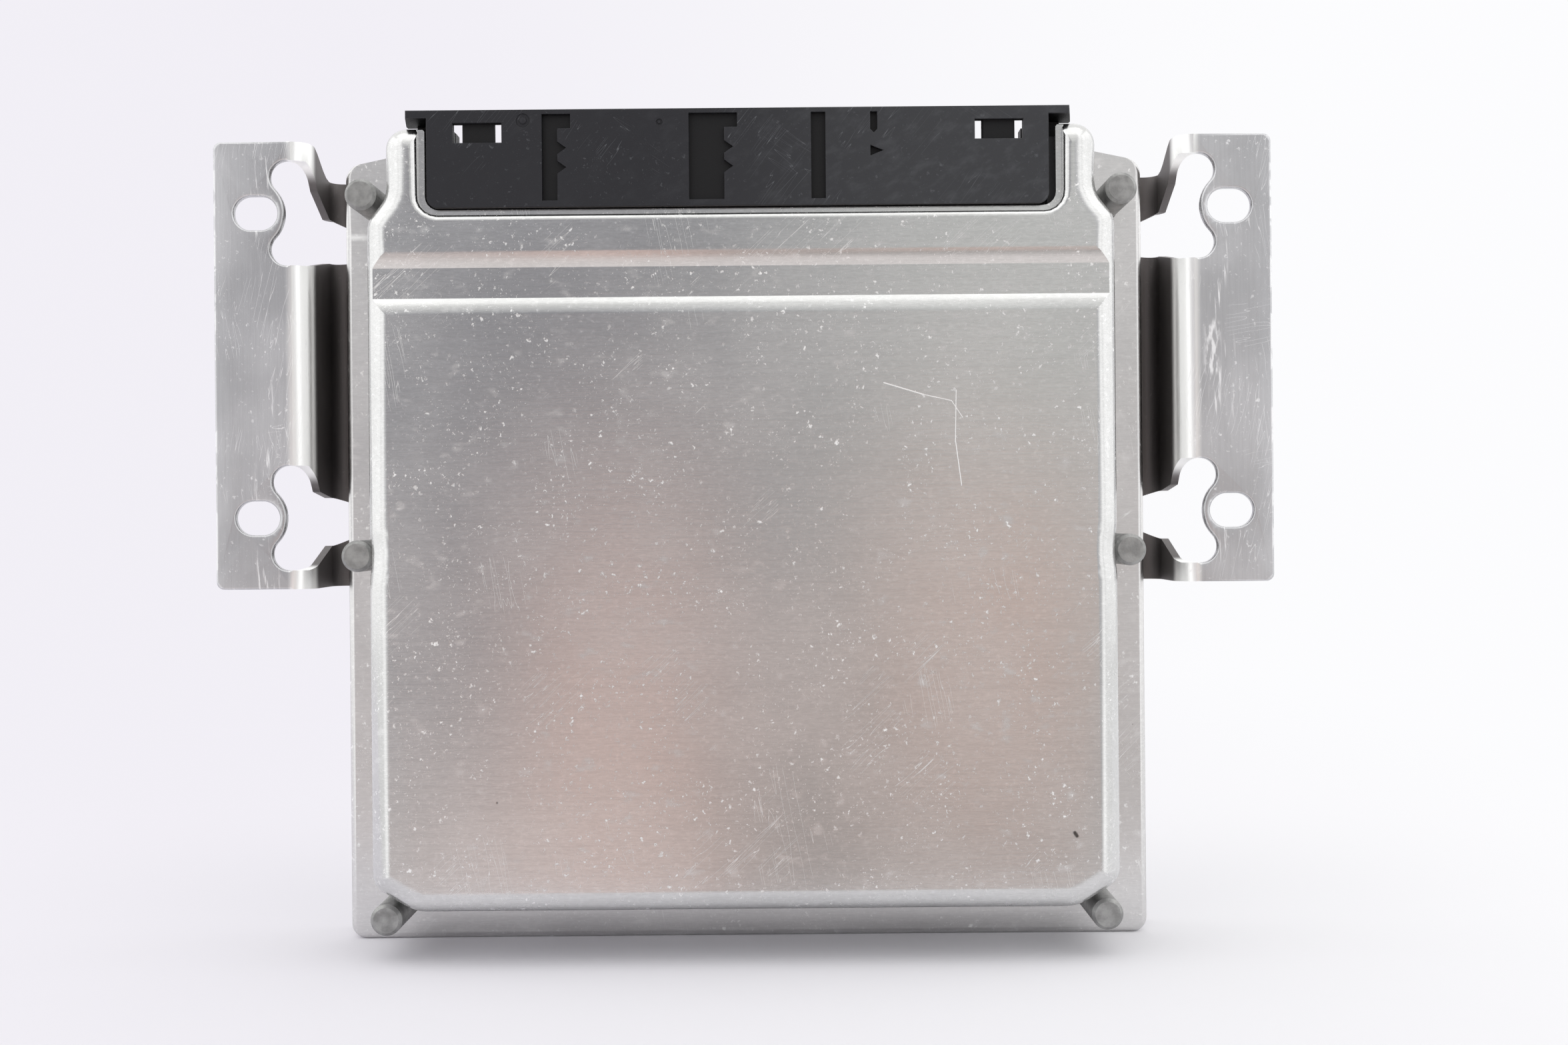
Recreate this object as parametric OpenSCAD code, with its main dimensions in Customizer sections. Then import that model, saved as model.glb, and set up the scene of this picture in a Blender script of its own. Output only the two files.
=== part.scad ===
// Engine control unit: a drawn aluminium shell on a folded rear plate with two slotted
// side brackets, a five-bay connector header along the top edge and a circuit board inside.
// All sizes are millimetres. The unit is drawn lying on its back: x to the right, y up the
// face, z out of the face with zero on the front of the flange. It is then stood upright.

/* [Sheet metal] */
// Thickness of the shell and rear plate sheet
sheet_t = 1.5; // [1.3:0.1:1.7]
// Thickness of the gasket between skirt and rear plate
gasket_t = 0.8; // [0.5:0.1:1.2]

/* [Shell] */
// Height over the skirt
case_h = 158.7; // [156:0.1:175]
// Depth from the flange front to the rear plate
case_back = 10; // [9:0.5:12]
// Height of the tub's face above the flange
tub_h = 26; // [25:0.5:32]
// Flange width beside the tub
flange_side = 9.1; // [8.6:0.1:10]
// Flange width below the tub
flange_low = 9.7; // [9:0.1:12]
// How far the tub's walls lean in over their height
draft = 0.7; // [0.3:0.1:1]
// Rounding between the tub's walls and its face
edge_r = 4.3; // [3.4:0.1:4.4]
// Fillet between the flange and the tub
base_r = 1.2; // [0.8:0.1:1.4]
// Rounding of the skirt's front edge
skirt_edge_r = 1.3; // [1:0.1:1.6]
// Skirt corner radius at the bottom
skirt_low_r = 3; // [2:0.5:4]
// Skirt corner radius at the top
skirt_top_r = 3.5; // [2:0.5:5]
// Width of the tub's slanted lower corners
corner_w = 8.5; // [7:0.5:9]
// Height of the tub's slanted lower corners
corner_h = 5.4; // [4.5:0.1:7]
// Flat width of the two arms beside the header
arm_flat = 0.85; // [0.75:0.05:6]
// How far the two arms rise above the skirt's top edge
arm_up = 2.6; // [1:0.1:2.9]
// Clearance between an arm's fillet and the upper post beside it
arm_clear = 0.45; // [0.2:0.05:1]
// Start of the step below the top edge
shoulder_low = 15.6; // [15:0.1:18]
// End of the step below the top edge
shoulder_high = 11; // [10.5:0.1:12]
// Corner radius at the ends of the two arms
arm_r = 4.7; // [4.5:0.1:5]
// Clearance between a middle post and the dent in the tub beside it
dent_clear = 0.75; // [0.7:0.05:0.9]
// Clearance between a middle post's end and the tub beside it
dent_top_clear = 0.3; // [0.2:0.05:0.5]
// Half length of the dents beside the middle posts
dent_half = 4.6; // [4.4:0.1:6]

/* [Groove] */
// Upper edge of the groove below the top edge of the shell
groove_down = 22.1; // [21:0.1:30]
// Width of the groove at the face
groove_w = 12; // [9:0.1:14]
// Width of the groove's sides, which round off into the face
groove_slope = 3.1; // [2:0.1:3.5]
// Depth of the groove
groove_d = 1; // [0.5:0.1:1.2]

/* [Notch] */
// Gap between the header and the sides of the notch
notch_gap = 1.05; // [0.8:0.05:1.4]
// Gap between the header and the lower edge of the notch
notch_low_gap = 0.2; // [0.1:0.05:0.5]
// Width of the ledge round the notch
ledge_w = 1.2; // [1:0.1:1.4]
// Depth of the ledge below the face
ledge_drop = 2.5; // [2.2:0.1:2.8]
// Roll from the face down to the ledge
roll_r = 1.3; // [1:0.1:1.5]
// Inner corner radius of the notch
notch_r = 2.6; // [2:0.1:4]

/* [Posts] */
// Diameter of the posts in front of the flange
post_d = 6.1; // [5.5:0.1:6.4]
// Height of the post ends above the flange
post_top = 21; // [16:0.5:21.5]
// Chamfer at the post ends
post_chamfer = 0.6; // [0.3:0.1:1]
// Diameter of the collar behind the flange
collar_d = 9; // [8:0.1:9.4]
// Clearance of the flange hole round a post
post_clear = 0.15; // [0.1:0.05:0.25]
// Skirt's side from the edge of the upper posts
post_edge = 5.05; // [4.8:0.05:8]
// Upper posts below the top edge
post_top_down = 10.2; // [9.5:0.1:12]
// Middle posts from the skirt's side
post_mid_side = 6.9; // [6.6:0.1:7]
// Middle posts above the bottom edge
post_mid_up = 78.7; // [60:0.1:100]
// Lower posts from the skirt's side
post_low_side = 11.9; // [11:0.1:13]
// Lower posts above the bottom edge
post_low_up = 8.4; // [7.5:0.1:8.8]
// Diameter of the cover screws
cover_screw_d = 4; // [3:0.1:4.5]
// Head diameter of the cover screws
cover_head_d = 7.4; // [6.8:0.1:8.5]
// Head height of the cover screws
cover_head_h = 2.6; // [2:0.1:3]
// Length of the cover screws under the head
cover_screw_l = 11; // [9:0.5:14]

/* [Rear plate] */
// Number of stiffening beads pressed out of the rear plate
bead_n = 3; // [2:1:4]
// Length of the beads
bead_l = 96; // [80:1:104]
// Width of the beads
bead_w = 8; // [6:0.5:10]
// Depth of the beads
bead_d = 1; // [0.6:0.1:1.4]

/* [Brackets] */
// Gap from the skirt to the bracket's wall
bracket_gap = 5; // [4.6:0.1:9]
// Lower edge of the brackets above the bottom edge
bracket_low = 72; // [60:0.5:75]
// Height of the brackets
bracket_h = 89.6; // [86:0.1:100]
// Front of the tabs above the flange front
tab_z = 8; // [6:0.5:12]
// Width of the tabs from the bracket's wall to the outer edge
tab_reach = 19.4; // [18:0.1:24]
// Outer radius of the bend between wall and tab
tab_bend_r = 4.5; // [3:0.1:5]
// Inner radius of the bend between foot and wall
foot_bend_r = 2.75; // [2:0.05:3.5]
// Corner radius of the tabs
tab_corner_r = 1.5; // [0.8:0.1:3]
// How far the wall's top edge lies below the tab's top edge
wall_drop = 5.2; // [3:0.1:6]
// Slot centre from the bracket's wall
slot_reach = 11; // [10.6:0.1:12]
// Slot centres from the upper and lower end of the tab
slot_end = 14.25; // [13.5:0.05:16]
// Length of the slots
slot_l = 8.75; // [7.5:0.05:10]
// Width of the slots
slot_w = 6.8; // [5:0.1:7.2]
// Lobe radius of the cut-outs
lobe_r = 3.3; // [2.6:0.1:3.6]
// Lobe centres from the slot's centre
lobe_off = 7.2; // [6.8:0.1:7.6]
// Lobe centres beyond the tab's bend
lobe_in = 0.3; // [0.1:0.1:0.6]
// Edge of the tongue round the slot, from the tab's bend
tongue_in = 0.7; // [0.5:0.1:1]

/* [Header] */
// Sideways shift of the header from the case's centre
header_shift = -0.45; // [-0.5:0.05:0.2]
// Lower edge of the header's front below the shell's top edge
header_drop = 13.7; // [13:0.1:14.5]
// Height of the header's mouth above the shell's top edge
mouth_up = 4.9; // [4.6:0.1:8]
// Header front behind the tub's face
header_back = 1; // [0.5:0.1:1.5]
// Walls between and round the bays
bay_wall = 1.96; // [1.6:0.02:2.4]
// Depth of the bays from front to back
bay_d = 18; // [16.5:0.5:18.5]
// Room beside the outer signal contacts
signal_margin = 1.6; // [1.2:0.1:2]
// Room beside the outer power contacts
power_margin = 2.8; // [2.2:0.1:3.2]
// Corner radius of the header's front
header_r = 2; // [1:0.5:3]
// How far the rim stands out past the header's sides
rim_out = 3.95; // [3:0.05:5]
// Height of the rim
rim_h = 1.5; // [1:0.1:2]
// Depth of the rim's two wings from front to back
rim_d = 9; // [7:0.5:12]
// How much further out the wings' rear ends stand than their front ends
rim_flare = 1.6; // [0:0.1:2]
// Thickness of the seal under the notch's ledge
seal_t = 0.8; // [0.5:0.1:1.2]
// Depth of the keyways in the header's front
key_d = 1.2; // [0.5:0.1:1.3]
// Length of the pointed teeth on the keyways
tooth_l = 1.7; // [1:0.1:2]
// Depth of the moulding marks in the header's front
mark_d = 0.25; // [0.1:0.05:0.4]
// Height of the latch windows
window_h = 3.75; // [3:0.05:4.5]
// Top of the latch windows below the mouth
window_down = 2.5; // [2:0.1:4]
// Depth of the notches in the rear wall behind the latch windows
latch_notch = 2.3; // [2:0.1:2.8]
// Height of the web that closes the case behind the header
web_h = 8; // [7:0.5:9]
// Top of that web below the shell's top edge
web_down = 2.5; // [2:0.1:3]

/* [Contacts] */
// Pitch of the signal contacts
signal_pitch = 2.54; // [2.5:0.01:2.6]
// Thickness of the signal contacts
signal_t = 0.64; // [0.5:0.02:0.8]
// Pitch of the power contacts
power_pitch = 5; // [4.8:0.1:5.1]
// Width of the power contacts
power_w = 1.5; // [1.2:0.1:2.4]
// Thickness of the power contacts
power_t = 0.8; // [0.6:0.1:1]
// Free length of the contacts in the bays
contact_free = 8.5; // [6:0.5:10]
// Thickness of the plates that carry the contacts
carrier_t = 5; // [4:0.5:6]
// Length of the contacts behind the board
contact_tail = 1; // [0.6:0.1:1.6]
// Clearance of the board's holes round the contacts
hole_clear = 0.08; // [0.05:0.01:0.12]

/* [Board] */
// Thickness of the circuit board
board_t = 1.6; // [1.2:0.1:2]
// Height of the spacers between rear plate and board
spacer_h = 3.5; // [3:0.1:4]
// Diameter of the spacers
spacer_d = 6; // [5:0.1:7]
// Diameter of the board and rail screws
board_screw_d = 2.6; // [2:0.1:3]
// Head diameter of the board and rail screws
board_head_d = 5; // [4.4:0.1:5.6]
// Head height of the board and rail screws
board_head_h = 1.6; // [1.2:0.1:2]
// Gap between the board and the post collars
board_gap = 1.1; // [0.8:0.1:1.5]
// Spacer centres from the board's edges
spacer_in = 5; // [4:0.5:6]

/* [Components] */
// Width of the processor body
cpu_w = 26; // [20:1:28]
// Height of the processor body
cpu_h = 3.2; // [2:0.1:4]
// Processor's middle from the middle of the board
cpu_x = 4; // [2:0.5:6]
// Pitch of the chips' leads
lead_pitch = 1.27; // [1.2:0.01:1.3]
// Length of the chips' leads
lead_l = 1.2; // [1:0.1:1.5]
// Width of the memory chips
memory_w = 9; // [8:0.5:10]
// Length of the memory chips
memory_l = 18; // [16:0.5:19]
// Height of the memory chips
memory_h = 2.6; // [2:0.1:3]
// Width of the driver chips
driver_w = 11; // [10:0.5:12]
// Length of the driver chips
driver_l = 13; // [11:0.5:14]
// Height of the driver chips
driver_h = 3; // [2:0.1:3.5]
// Pitch of the driver chips
driver_pitch = 30; // [26:1:32]
// Width of the voltage regulator
regulator_w = 10; // [9:0.5:11]
// Length of the voltage regulator's body
regulator_l = 9; // [8:0.5:10]
// Height of the voltage regulator
regulator_h = 4.4; // [4:0.1:5]
// Length of the crystal's can
can_l = 11; // [10:0.5:12]
// Width of the crystal's can
can_w = 4.7; // [4:0.1:5]
// Height of the crystal's can
can_h = 3.5; // [3:0.1:4]
// Clearance between the crystal and the chips beside it
can_clear = 1.2; // [0.8:0.1:2]
// Length of the small chip parts
small_l = 2; // [1.6:0.1:2.2]
// Width of the small chip parts
small_w = 1.25; // [1:0.05:1.4]
// Height of the ceramic capacitors
ceramic_h = 1; // [0.8:0.1:1.4]
// Height of the resistors
resistor_h = 0.55; // [0.4:0.05:0.7]
// Pitch of the small chip parts along a row
small_pitch = 5.6; // [4:0.1:5.8]
// Pitch of the rows of small chip parts
small_rows = 3.8; // [3:0.1:4.5]
// Number of ceramic capacitors in a row
ceramic_n = 22; // [12:1:22]
// Number of resistors in a row
resistor_n = 14; // [8:1:18]
// Height of the power transistor bodies
transistor_h = 15; // [12:0.5:16]
// Thickness of the power transistor bodies
transistor_t = 4.5; // [4:0.1:5]
// Width of the power transistor bodies
transistor_w = 10; // [9:0.1:11]
// Pitch of the power transistors
transistor_pitch = 14; // [13:0.5:15]
// Number of power transistors
transistor_n = 6; // [4:1:6]
// Thickness of the transistor rail
rail_t = 5; // [4:0.5:6]
// Height of the transistor rail
rail_h = 19; // [18:0.5:20]
// Thickness of the thermal pads
pad_t = 0.3; // [0.2:0.1:0.5]
// Thickness of the spring clips
clip_t = 0.6; // [0.4:0.1:0.8]
// Transistor rail above the board's lower edge
rail_up = 9; // [8:0.5:10]
// Rail screws from the rail's ends
rail_screw_in = 4; // [3.5:0.5:6]
// Radius of the choke's flanges
choke_r = 6; // [5:0.5:6.5]
// Radius of the choke's core
choke_core_r = 3; // [2:0.5:3.5]
// Thickness of the choke's flanges
choke_rim = 1.4; // [1:0.1:2]
// Height of the choke
choke_h = 8; // [6:0.5:10]
// How far the winding lies inside the choke's flanges
choke_in = 0.8; // [0.5:0.1:1.2]
// Diameter of the filter capacitors
filter_d = 12.5; // [10:0.5:13]
// Height of the filter capacitors
filter_h = 18; // [14:0.5:20]

/* [Hidden] */
$fn = 48;

// Overshoot of cutters past the faces they cut
cut = 1;
// Least blend length of an outline's corner
blend_min = 0.35;
// Step that keeps two loft rings on one level apart
ring_step = 0.05;
// Angle between the loft rings of a small rounding
ring_angle = 22.5;
// Loft rings over the part of the tub's rounding above the ledge
edge_steps = 6;
// Steps along the curves of the groove's sides and the brackets' tops
curve_steps = 6;

// Kinds of outline edge, used to index a ring's three insets
OUTER = 0;
TOP = 1;
NOTCH = 2;

collar_r = collar_d / 2;
post_r = post_d / 2;
skirt_rim_z = gasket_t - case_back;
plate_z = -case_back - sheet_t;
rounding_z = tub_h - edge_r;

// Each bay: columns, rows, pitch, margin beside the outer contacts
bays = [
    [3, 3, power_pitch, power_margin],
    [10, 4, signal_pitch, signal_margin],
    [13, 4, signal_pitch, signal_margin],
    [6, 4, signal_pitch, signal_margin],
    [3, 3, power_pitch, power_margin]
];
function bay_w(i) = (bays[i][0] - 1) * bays[i][2] + 2 * bays[i][3];
function bays_before(i) = i == 0 ? 0 : bays_before(i - 1) + bay_w(i - 1) + bay_wall;
header_w = bays_before(len(bays)) + bay_wall;
function bay_x(i) = header_shift - header_w / 2 + bay_wall + bays_before(i);
function contact_x(i, c) = bay_x(i) + bays[i][3] + c * bays[i][2];
function contact_z(i, r) = bay_mid_z + (r - (bays[i][1] - 1) / 2) * bays[i][2];

arm_top = case_h + arm_up;
header_half = header_w / 2;
header_z = tub_h - header_back;
header_low = case_h - header_drop;
mouth_y = case_h + mouth_up;
bay_front_z = header_z - bay_wall;
bay_mid_z = bay_front_z - bay_d / 2;
header_rear_z = bay_front_z - bay_d - bay_wall;
notch_half = header_half + notch_gap;
shoulder_half = notch_half + ledge_w + roll_r + arm_flat + edge_r + draft;
post_top_x = shoulder_half + base_r + arm_clear + post_r;
case_half = post_top_x + post_r + post_edge;
tub_half = case_half - flange_side;
post_bite = post_mid_side - flange_side + post_r;
dent_d = max(blend_min, post_bite + dent_clear);
dent_top = max(blend_min, post_bite + dent_top_clear - draft);
notch_y = header_low - notch_low_gap;
ledge_z = tub_h - ledge_drop;
// Room that the notch's wall takes behind the ledge
notch_wall = ledge_w + sheet_t;
block_clear = 0.25;
block_half = notch_half + notch_wall - block_clear - abs(header_shift);
block_low = notch_y - notch_wall + block_clear;
block_top_z = ledge_z - sheet_t - seal_t;
block_high = case_h - 0.5;
web_high = case_h - web_down;
web_low = web_high - web_h;

post_spots = [
    [post_top_x, case_h - post_top_down],
    [case_half - post_mid_side, post_mid_up],
    [case_half - post_low_side, post_low_up]
];
thread_play = 0.05;
plate_hole_play = 0.2;

wall_x = case_half + bracket_gap;
bend_x = wall_x + tab_bend_r;
tab_x = wall_x + tab_reach;
slot_x = wall_x + slot_reach;
bracket_high = bracket_low + bracket_h;
slot_mid_y = bracket_low + bracket_h / 2;
slot_spots = [bracket_low + slot_end, bracket_high - slot_end];
// Cut-outs on the wall's foot: low and high edge from the slot's centre
foot_cuts = [[-5.8, 4.2], [-8, 1.2]];
// Cut-outs where they end beside the skirt
mouth_cuts = [[-3.9, 2.75], [-7.6, -0.8]];
mouth_clear = 0.5;
lobe_x = bend_x + lobe_in;
tongue_x = bend_x + tongue_in;
// Radius of the tongue's end, so that it runs smoothly into both lobes
tongue_r = (pow(lobe_off, 2) + pow(tongue_x - lobe_x, 2) - pow(lobe_r, 2))
    / (2 * (lobe_r - (tongue_x - lobe_x)));

board_z = -case_back + spacer_h;
board_top = board_z + board_t;
board_half = case_half - post_mid_side - collar_r - board_gap;
board_low = post_low_up + collar_r + board_gap;
board_high = block_low - board_gap;
spacer_spots = [
    for (x = [-1, 1])
        for (y = [board_low + spacer_in, (board_low + board_high) / 2, board_high - spacer_in])
            [x * (board_half - spacer_in), y]
];
rail_low = board_low + rail_up;
rail_l = transistor_n * transistor_pitch;
rail_face = rail_low + rail_t;
transistor_face = rail_face + pad_t;
transistor_front = transistor_face + transistor_t;
lead_lift = 2;
lead_third = 2.54;
rail_screw_xs = [rail_screw_in - rail_l / 2, 0, rail_l / 2 - rail_screw_in];
rail_screw_l = 9;

carrier_top = header_low + carrier_t;
tail_first = block_low - 5;
function tail_y(i, r) = tail_first - r * bays[i][2];

// Rows of parts on the board between the transistors and the contacts' tails, with equal gaps:
// resistors, drivers, power parts, processor and ceramic capacitors
regulator_foot = regulator_l / 2 + 3.5;
row_sizes = [
    small_rows + small_w, driver_l, max(2 * regulator_foot, filter_d),
    cpu_w + 2 * lead_l, small_rows + small_w
];
rows_low = transistor_front + clip_t;
rows_high = min([for (i = [0:len(bays) - 1]) tail_y(i, bays[i][1] - 1)]);
function rows_below(i) = i == 0 ? 0 : rows_below(i - 1) + row_sizes[i - 1];
row_gap = (rows_high - rows_low - rows_below(len(row_sizes))) / (len(row_sizes) + 1);
function row_low(i) = rows_low + (i + 1) * row_gap + rows_below(i);
function row_mid(i) = row_low(i) + row_sizes[i] / 2;
// Middle of a memory chip from the processor's middle, with room for the crystal
memory_off = cpu_w / 2 + 2 * lead_l + can_w + 1 + 2 * can_clear + memory_w / 2;
// Places along the power row as shares of the board's half width
regulator_share = -0.72;
filter_shares = [-0.32, -0.08, 0.7];
choke_share = 0.32;

// Header front: keyways [left edge, width], bar [left edge, width], pointer's left edge, latch
// windows [left edge, right edge, left slit, right slit] and the notches behind them [left, right]
keyways = [[-37.7, 2.9], [-9.7, 6.7]];
key_bar = [13.6, 2.7];
pointer_x = 24.9;
latch_windows = [[-54.7, -45.4, 1.7, 1.4], [44.8, 54, 1.7, 1.5]];
latch_notches = [[-57.7, -45.4], [44.8, 56.2]];
key_low = header_low + 1.25;
key_high = mouth_y - 0.9;
key_head_h = 2.7;
key_head_out = 0.8;
tooth_ys = [mouth_y - 7.35, mouth_y - 11.05];
tooth_half = 1.2;
pointer_w = 1.3;
pointer_l = 4;
arrow_l = 2.4;
arrow_half = 1;
arrow_y = mouth_y - 8.3;
// Moulding marks on the header's front: [x, y, radius]
gate_marks = [[-41.3, mouth_y - 2.1, 1.3], [-15.3, mouth_y - 2.6, 0.6]];
// Width of the perimeter seal
seal_w = 3.5;

// Unit vector from a to b, its left-hand normal and the turn at a corner
function dir(a, b) = (b - a) / norm(b - a);
function left(d) = [-d[1], d[0]];
function turn(a, p, b) = atan2(cross(dir(a, p), dir(p, b)), dir(a, p) * dir(p, b));
function xy(c) = [c[0], c[1]];
function wrap(c, i) = c[(i + len(c)) % len(c)];

// Corner p between a and b once its two edges have moved inwards by e and f
function moved(a, p, b, e, f) =
    let (n = left(dir(a, p)), m = left(dir(p, b)), k = cross(n, m))
    abs(k) < 0.001 ? p + n * e : p + [e * m[1] - f * n[1], f * n[0] - e * m[0]] / k;

// Round corner of blend length t in s steps, a true arc
function rounded(a, p, b, t, s) =
    let (u = p + dir(p, a) * t, v = p + dir(p, b) * t, w = cos(turn(a, p, b) / 2))
    [
        for (i = [0:s])
            let (g = i / s, k = (1 - g) * (1 - g), l = 2 * w * g * (1 - g), m = g * g)
            (u * k + p * l + v * m) / (k + l + m)
    ];

// One loft ring: corners c, [x, y, blend length, edge kind, steps], inset by d for each kind
function ring(c, d, z) =
    let (
        q = [
            for (i = [0:len(c) - 1])
                moved(xy(wrap(c, i - 1)), xy(c[i]), xy(wrap(c, i + 1)),
                    d[wrap(c, i - 1)[3]], d[c[i][3]])
        ]
    )
    [
        for (i = [0:len(c) - 1])
            let (
                a = wrap(q, i - 1),
                b = wrap(q, i + 1),
                shrink = (d[wrap(c, i - 1)[3]] + d[c[i][3]]) / 2 * tan(turn(a, q[i], b) / 2),
                t = max(blend_min, c[i][2] - shrink)
            )
            for (v = rounded(a, q[i], b, t, c[i][4])) [v[0], v[1], z]
    ];

// Whole outline from its right half, which runs up from the bottom
function both_sides(h) = concat(h, [
    for (i = [len(h) - 1:-1:0])
        [-h[i][0], h[i][1], h[i][2], i > 0 ? h[i - 1][3] : OUTER, h[i][4]]
]);

// Blend lengths at the tub's slanted corners, dents, steps and the tips of its arms
slant_blend = 2.6;
dent_blend = 1;
step_blend = 1.5;
tip_blend = 0.8;
// Steps round each corner of the right half outlines; the seventh is one less than the last
corner_steps = [4, 4, 2, 3, 2, 3, 4, 8, 1, 5];
function stepped(h) = [for (i = [0:len(h) - 1]) concat(h[i], [corner_steps[i]])];

// Outline of the tub where it leaves the flange, with dents of depth d beside the middle posts
function tub_outline(d) = both_sides(stepped([
    [tub_half - corner_w, flange_low, slant_blend, OUTER],
    [tub_half, flange_low + corner_h, slant_blend, OUTER],
    [tub_half, post_mid_up - dent_half, dent_blend, OUTER],
    [tub_half - d, post_mid_up, 2 * dent_blend, OUTER],
    [tub_half, post_mid_up + dent_half, dent_blend, OUTER],
    [tub_half, case_h - shoulder_low, step_blend, OUTER],
    [shoulder_half, case_h - shoulder_high, step_blend, OUTER],
    [shoulder_half, arm_top, arm_r, TOP],
    [notch_half, arm_top, tip_blend, NOTCH],
    [notch_half, notch_y, notch_r, NOTCH]
]));

// Outline of the skirt, with corners that match the tub's one by one
low_corner = skirt_low_r * (2 - sqrt(2));
low_blend = skirt_low_r * tan(22.5);
skirt_outline = both_sides(stepped([
    [case_half - low_corner, 0, low_blend, OUTER],
    [case_half, low_corner, low_blend, OUTER],
    [case_half, post_mid_up - dent_half, dent_blend, OUTER],
    [case_half, post_mid_up, 2 * dent_blend, OUTER],
    [case_half, post_mid_up + dent_half, dent_blend, OUTER],
    [case_half, case_h - shoulder_low, step_blend, OUTER],
    [case_half, case_h - shoulder_high, step_blend, OUTER],
    [case_half, case_h, skirt_top_r, TOP],
    [notch_half, case_h, tip_blend, NOTCH],
    [notch_half, notch_y, notch_r, NOTCH]
]));

// Angle of the tub's rounding at the level of the ledge
ledge_a = asin((ledge_z - rounding_z) / edge_r);
// Rings up the outside of the shell, from the skirt's rim to the face
outside_rings = concat(
    [ring(skirt_outline, [0, 0, 0], skirt_rim_z)],
    [
        for (a = [0:ring_angle:90])
            ring(skirt_outline, [skirt_edge_r * (1 - cos(a)), 0, 0], -skirt_edge_r * (1 - sin(a)))
    ],
    [
        for (a = [0:ring_angle:90])
            ring(tub_outline(dent_d), [-base_r * (1 - sin(a)), 0, 0], ring_step + base_r * (1 - cos(a)))
    ],
    [for (a = [0, ledge_a / 2, ledge_a]) edge_ring(a, 0)],
    [for (i = [0:edge_steps]) edge_ring(ledge_a + 1 + (89 - ledge_a) * i / edge_steps, ledge_w)]
);
// How far the roll from the face to the ledge has gone in at height z
function roll_in(z) = let (h = max(0, z - tub_h + roll_r)) roll_r - sqrt(roll_r * roll_r - h * h);
// Ring at angle a of the tub's rounding, with the notch set back
function edge_ring(a, notch_in) =
    let (d = draft + edge_r * (1 - cos(a)), z = rounding_z + edge_r * sin(a))
    ring(tub_outline(dent_top), [d, d, notch_in + roll_in(z)], z);

// Rings down the inside, from the face to the skirt's rim
inside_r = edge_r - sheet_t;
bend_r = base_r + sheet_t;
inside_rings = concat(
    [
        for (a = [90:-30:0])
            let (d = draft + sheet_t + inside_r * (1 - cos(a)))
            ring(tub_outline(dent_top), [d, d, notch_wall], rounding_z + inside_r * sin(a))
    ],
    [ring(tub_outline(dent_d), [sheet_t, sheet_t, notch_wall], sheet_t + 2 * ring_step)],
    [ring(tub_outline(dent_d), [sheet_t, sheet_t + arm_up, notch_wall], sheet_t + ring_step)],
    [
        for (a = [0:45:90])
            ring(tub_outline(dent_d), [bend_r * cos(a) - base_r, sheet_t + arm_up, notch_wall],
                base_r - bend_r * sin(a))
    ],
    [ring(skirt_outline, [sheet_t, sheet_t, notch_wall], -sheet_t - ring_step)],
    [ring(skirt_outline, [sheet_t, sheet_t, notch_wall], skirt_rim_z)]
);

// Triangles between two chains of ring indices
function ladder(a, b) = [
    for (i = [0:len(a) - 2])
        for (t = [[a[i], a[i + 1], b[i + 1]], [a[i], b[i + 1], b[i]]]) t
];
// Ring index where corner i of outline c starts
function first(c, i) = i == 0 ? 0 : first(c, i - 1) + c[i - 1][4] + 1;

// Anticlockwise triangles of the flat face on a ring: rungs across the body, then up each arm
function face_triangles(c) =
    let (
        n = first(c, len(c)),
        step = first(c, 6) - 1,
        tip = first(c, 7),
        inner = first(c, 9) - 1,
        low = n / 2 - 1,
        arm = concat(
            ladder([for (i = [step:tip]) i], [for (i = [low:-1:inner]) i]),
            [for (i = [tip:inner - 2]) [inner, i, i + 1]]
        )
    )
    concat(
        ladder([for (i = [0:step]) i], [for (i = [0:step]) n - 1 - i]),
        ladder([step, low], [n - 1 - step, n - 1 - low]),
        arm,
        [for (t = arm) [n - 1 - t[2], n - 1 - t[1], n - 1 - t[0]]]
    );

// Drawn shell between an outside and an inside list of rings, joined along the rim
module drawn_shell(outside, inside) {
    n = len(outside[0]);
    face = len(outside) - 1;
    m = len(outside) + len(inside);
    flat = face_triangles(skirt_outline);
    polyhedron(
        points = [for (r = concat(outside, inside)) for (p = r) p],
        faces = concat(
            [for (t = flat) [for (i = [2, 1, 0]) face * n + t[i]]],
            [for (t = flat) [for (i = t) (face + 1) * n + i]],
            [
                for (j = [0:m - 1])
                    if (j != face)
                        for (i = [0:n - 1])
                            let (a = j * n, b = (j + 1) % m * n, k = (i + 1) % n)
                            for (t = [[a + i, b + i, b + k], [a + i, b + k, a + k]]) t
            ]
        )
    );
}

module upright() {
    rotate([90, 0, 0]) translate([0, -slot_mid_y, sheet_t - tab_z]) children();
}

// Prism of a profile drawn in y and z, from x0 to x1
module along_x(x0, x1) {
    translate([x0, 0, 0]) rotate([90, 0, 90]) linear_extrude(x1 - x0) children();
}

// Prism of a profile drawn in x and z, from y0 to y1
module along_y(y0, y1) {
    translate([0, y1, 0]) rotate([90, 0, 0]) linear_extrude(y1 - y0) children();
}

// Prism of a plan shape from z0 to z1
module along_z(z0, z1) {
    translate([0, 0, z0]) linear_extrude(z1 - z0) children();
}

module box(x0, x1, y0, y1, z0, z1) {
    translate([x0, y0, z0]) cube([x1 - x0, y1 - y0, z1 - z0]);
}

// Rectangle with round corners
module round_rect(x0, x1, y0, y1, r) {
    translate([x0 + r, y0]) square([x1 - x0 - 2 * r, y1 - y0]);
    translate([x0, y0 + r]) square([x1 - x0, y1 - y0 - 2 * r]);
    for (x = [x0 + r, x1 - r])
        for (y = [y0 + r, y1 - r]) translate([x, y]) circle(r);
}

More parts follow.
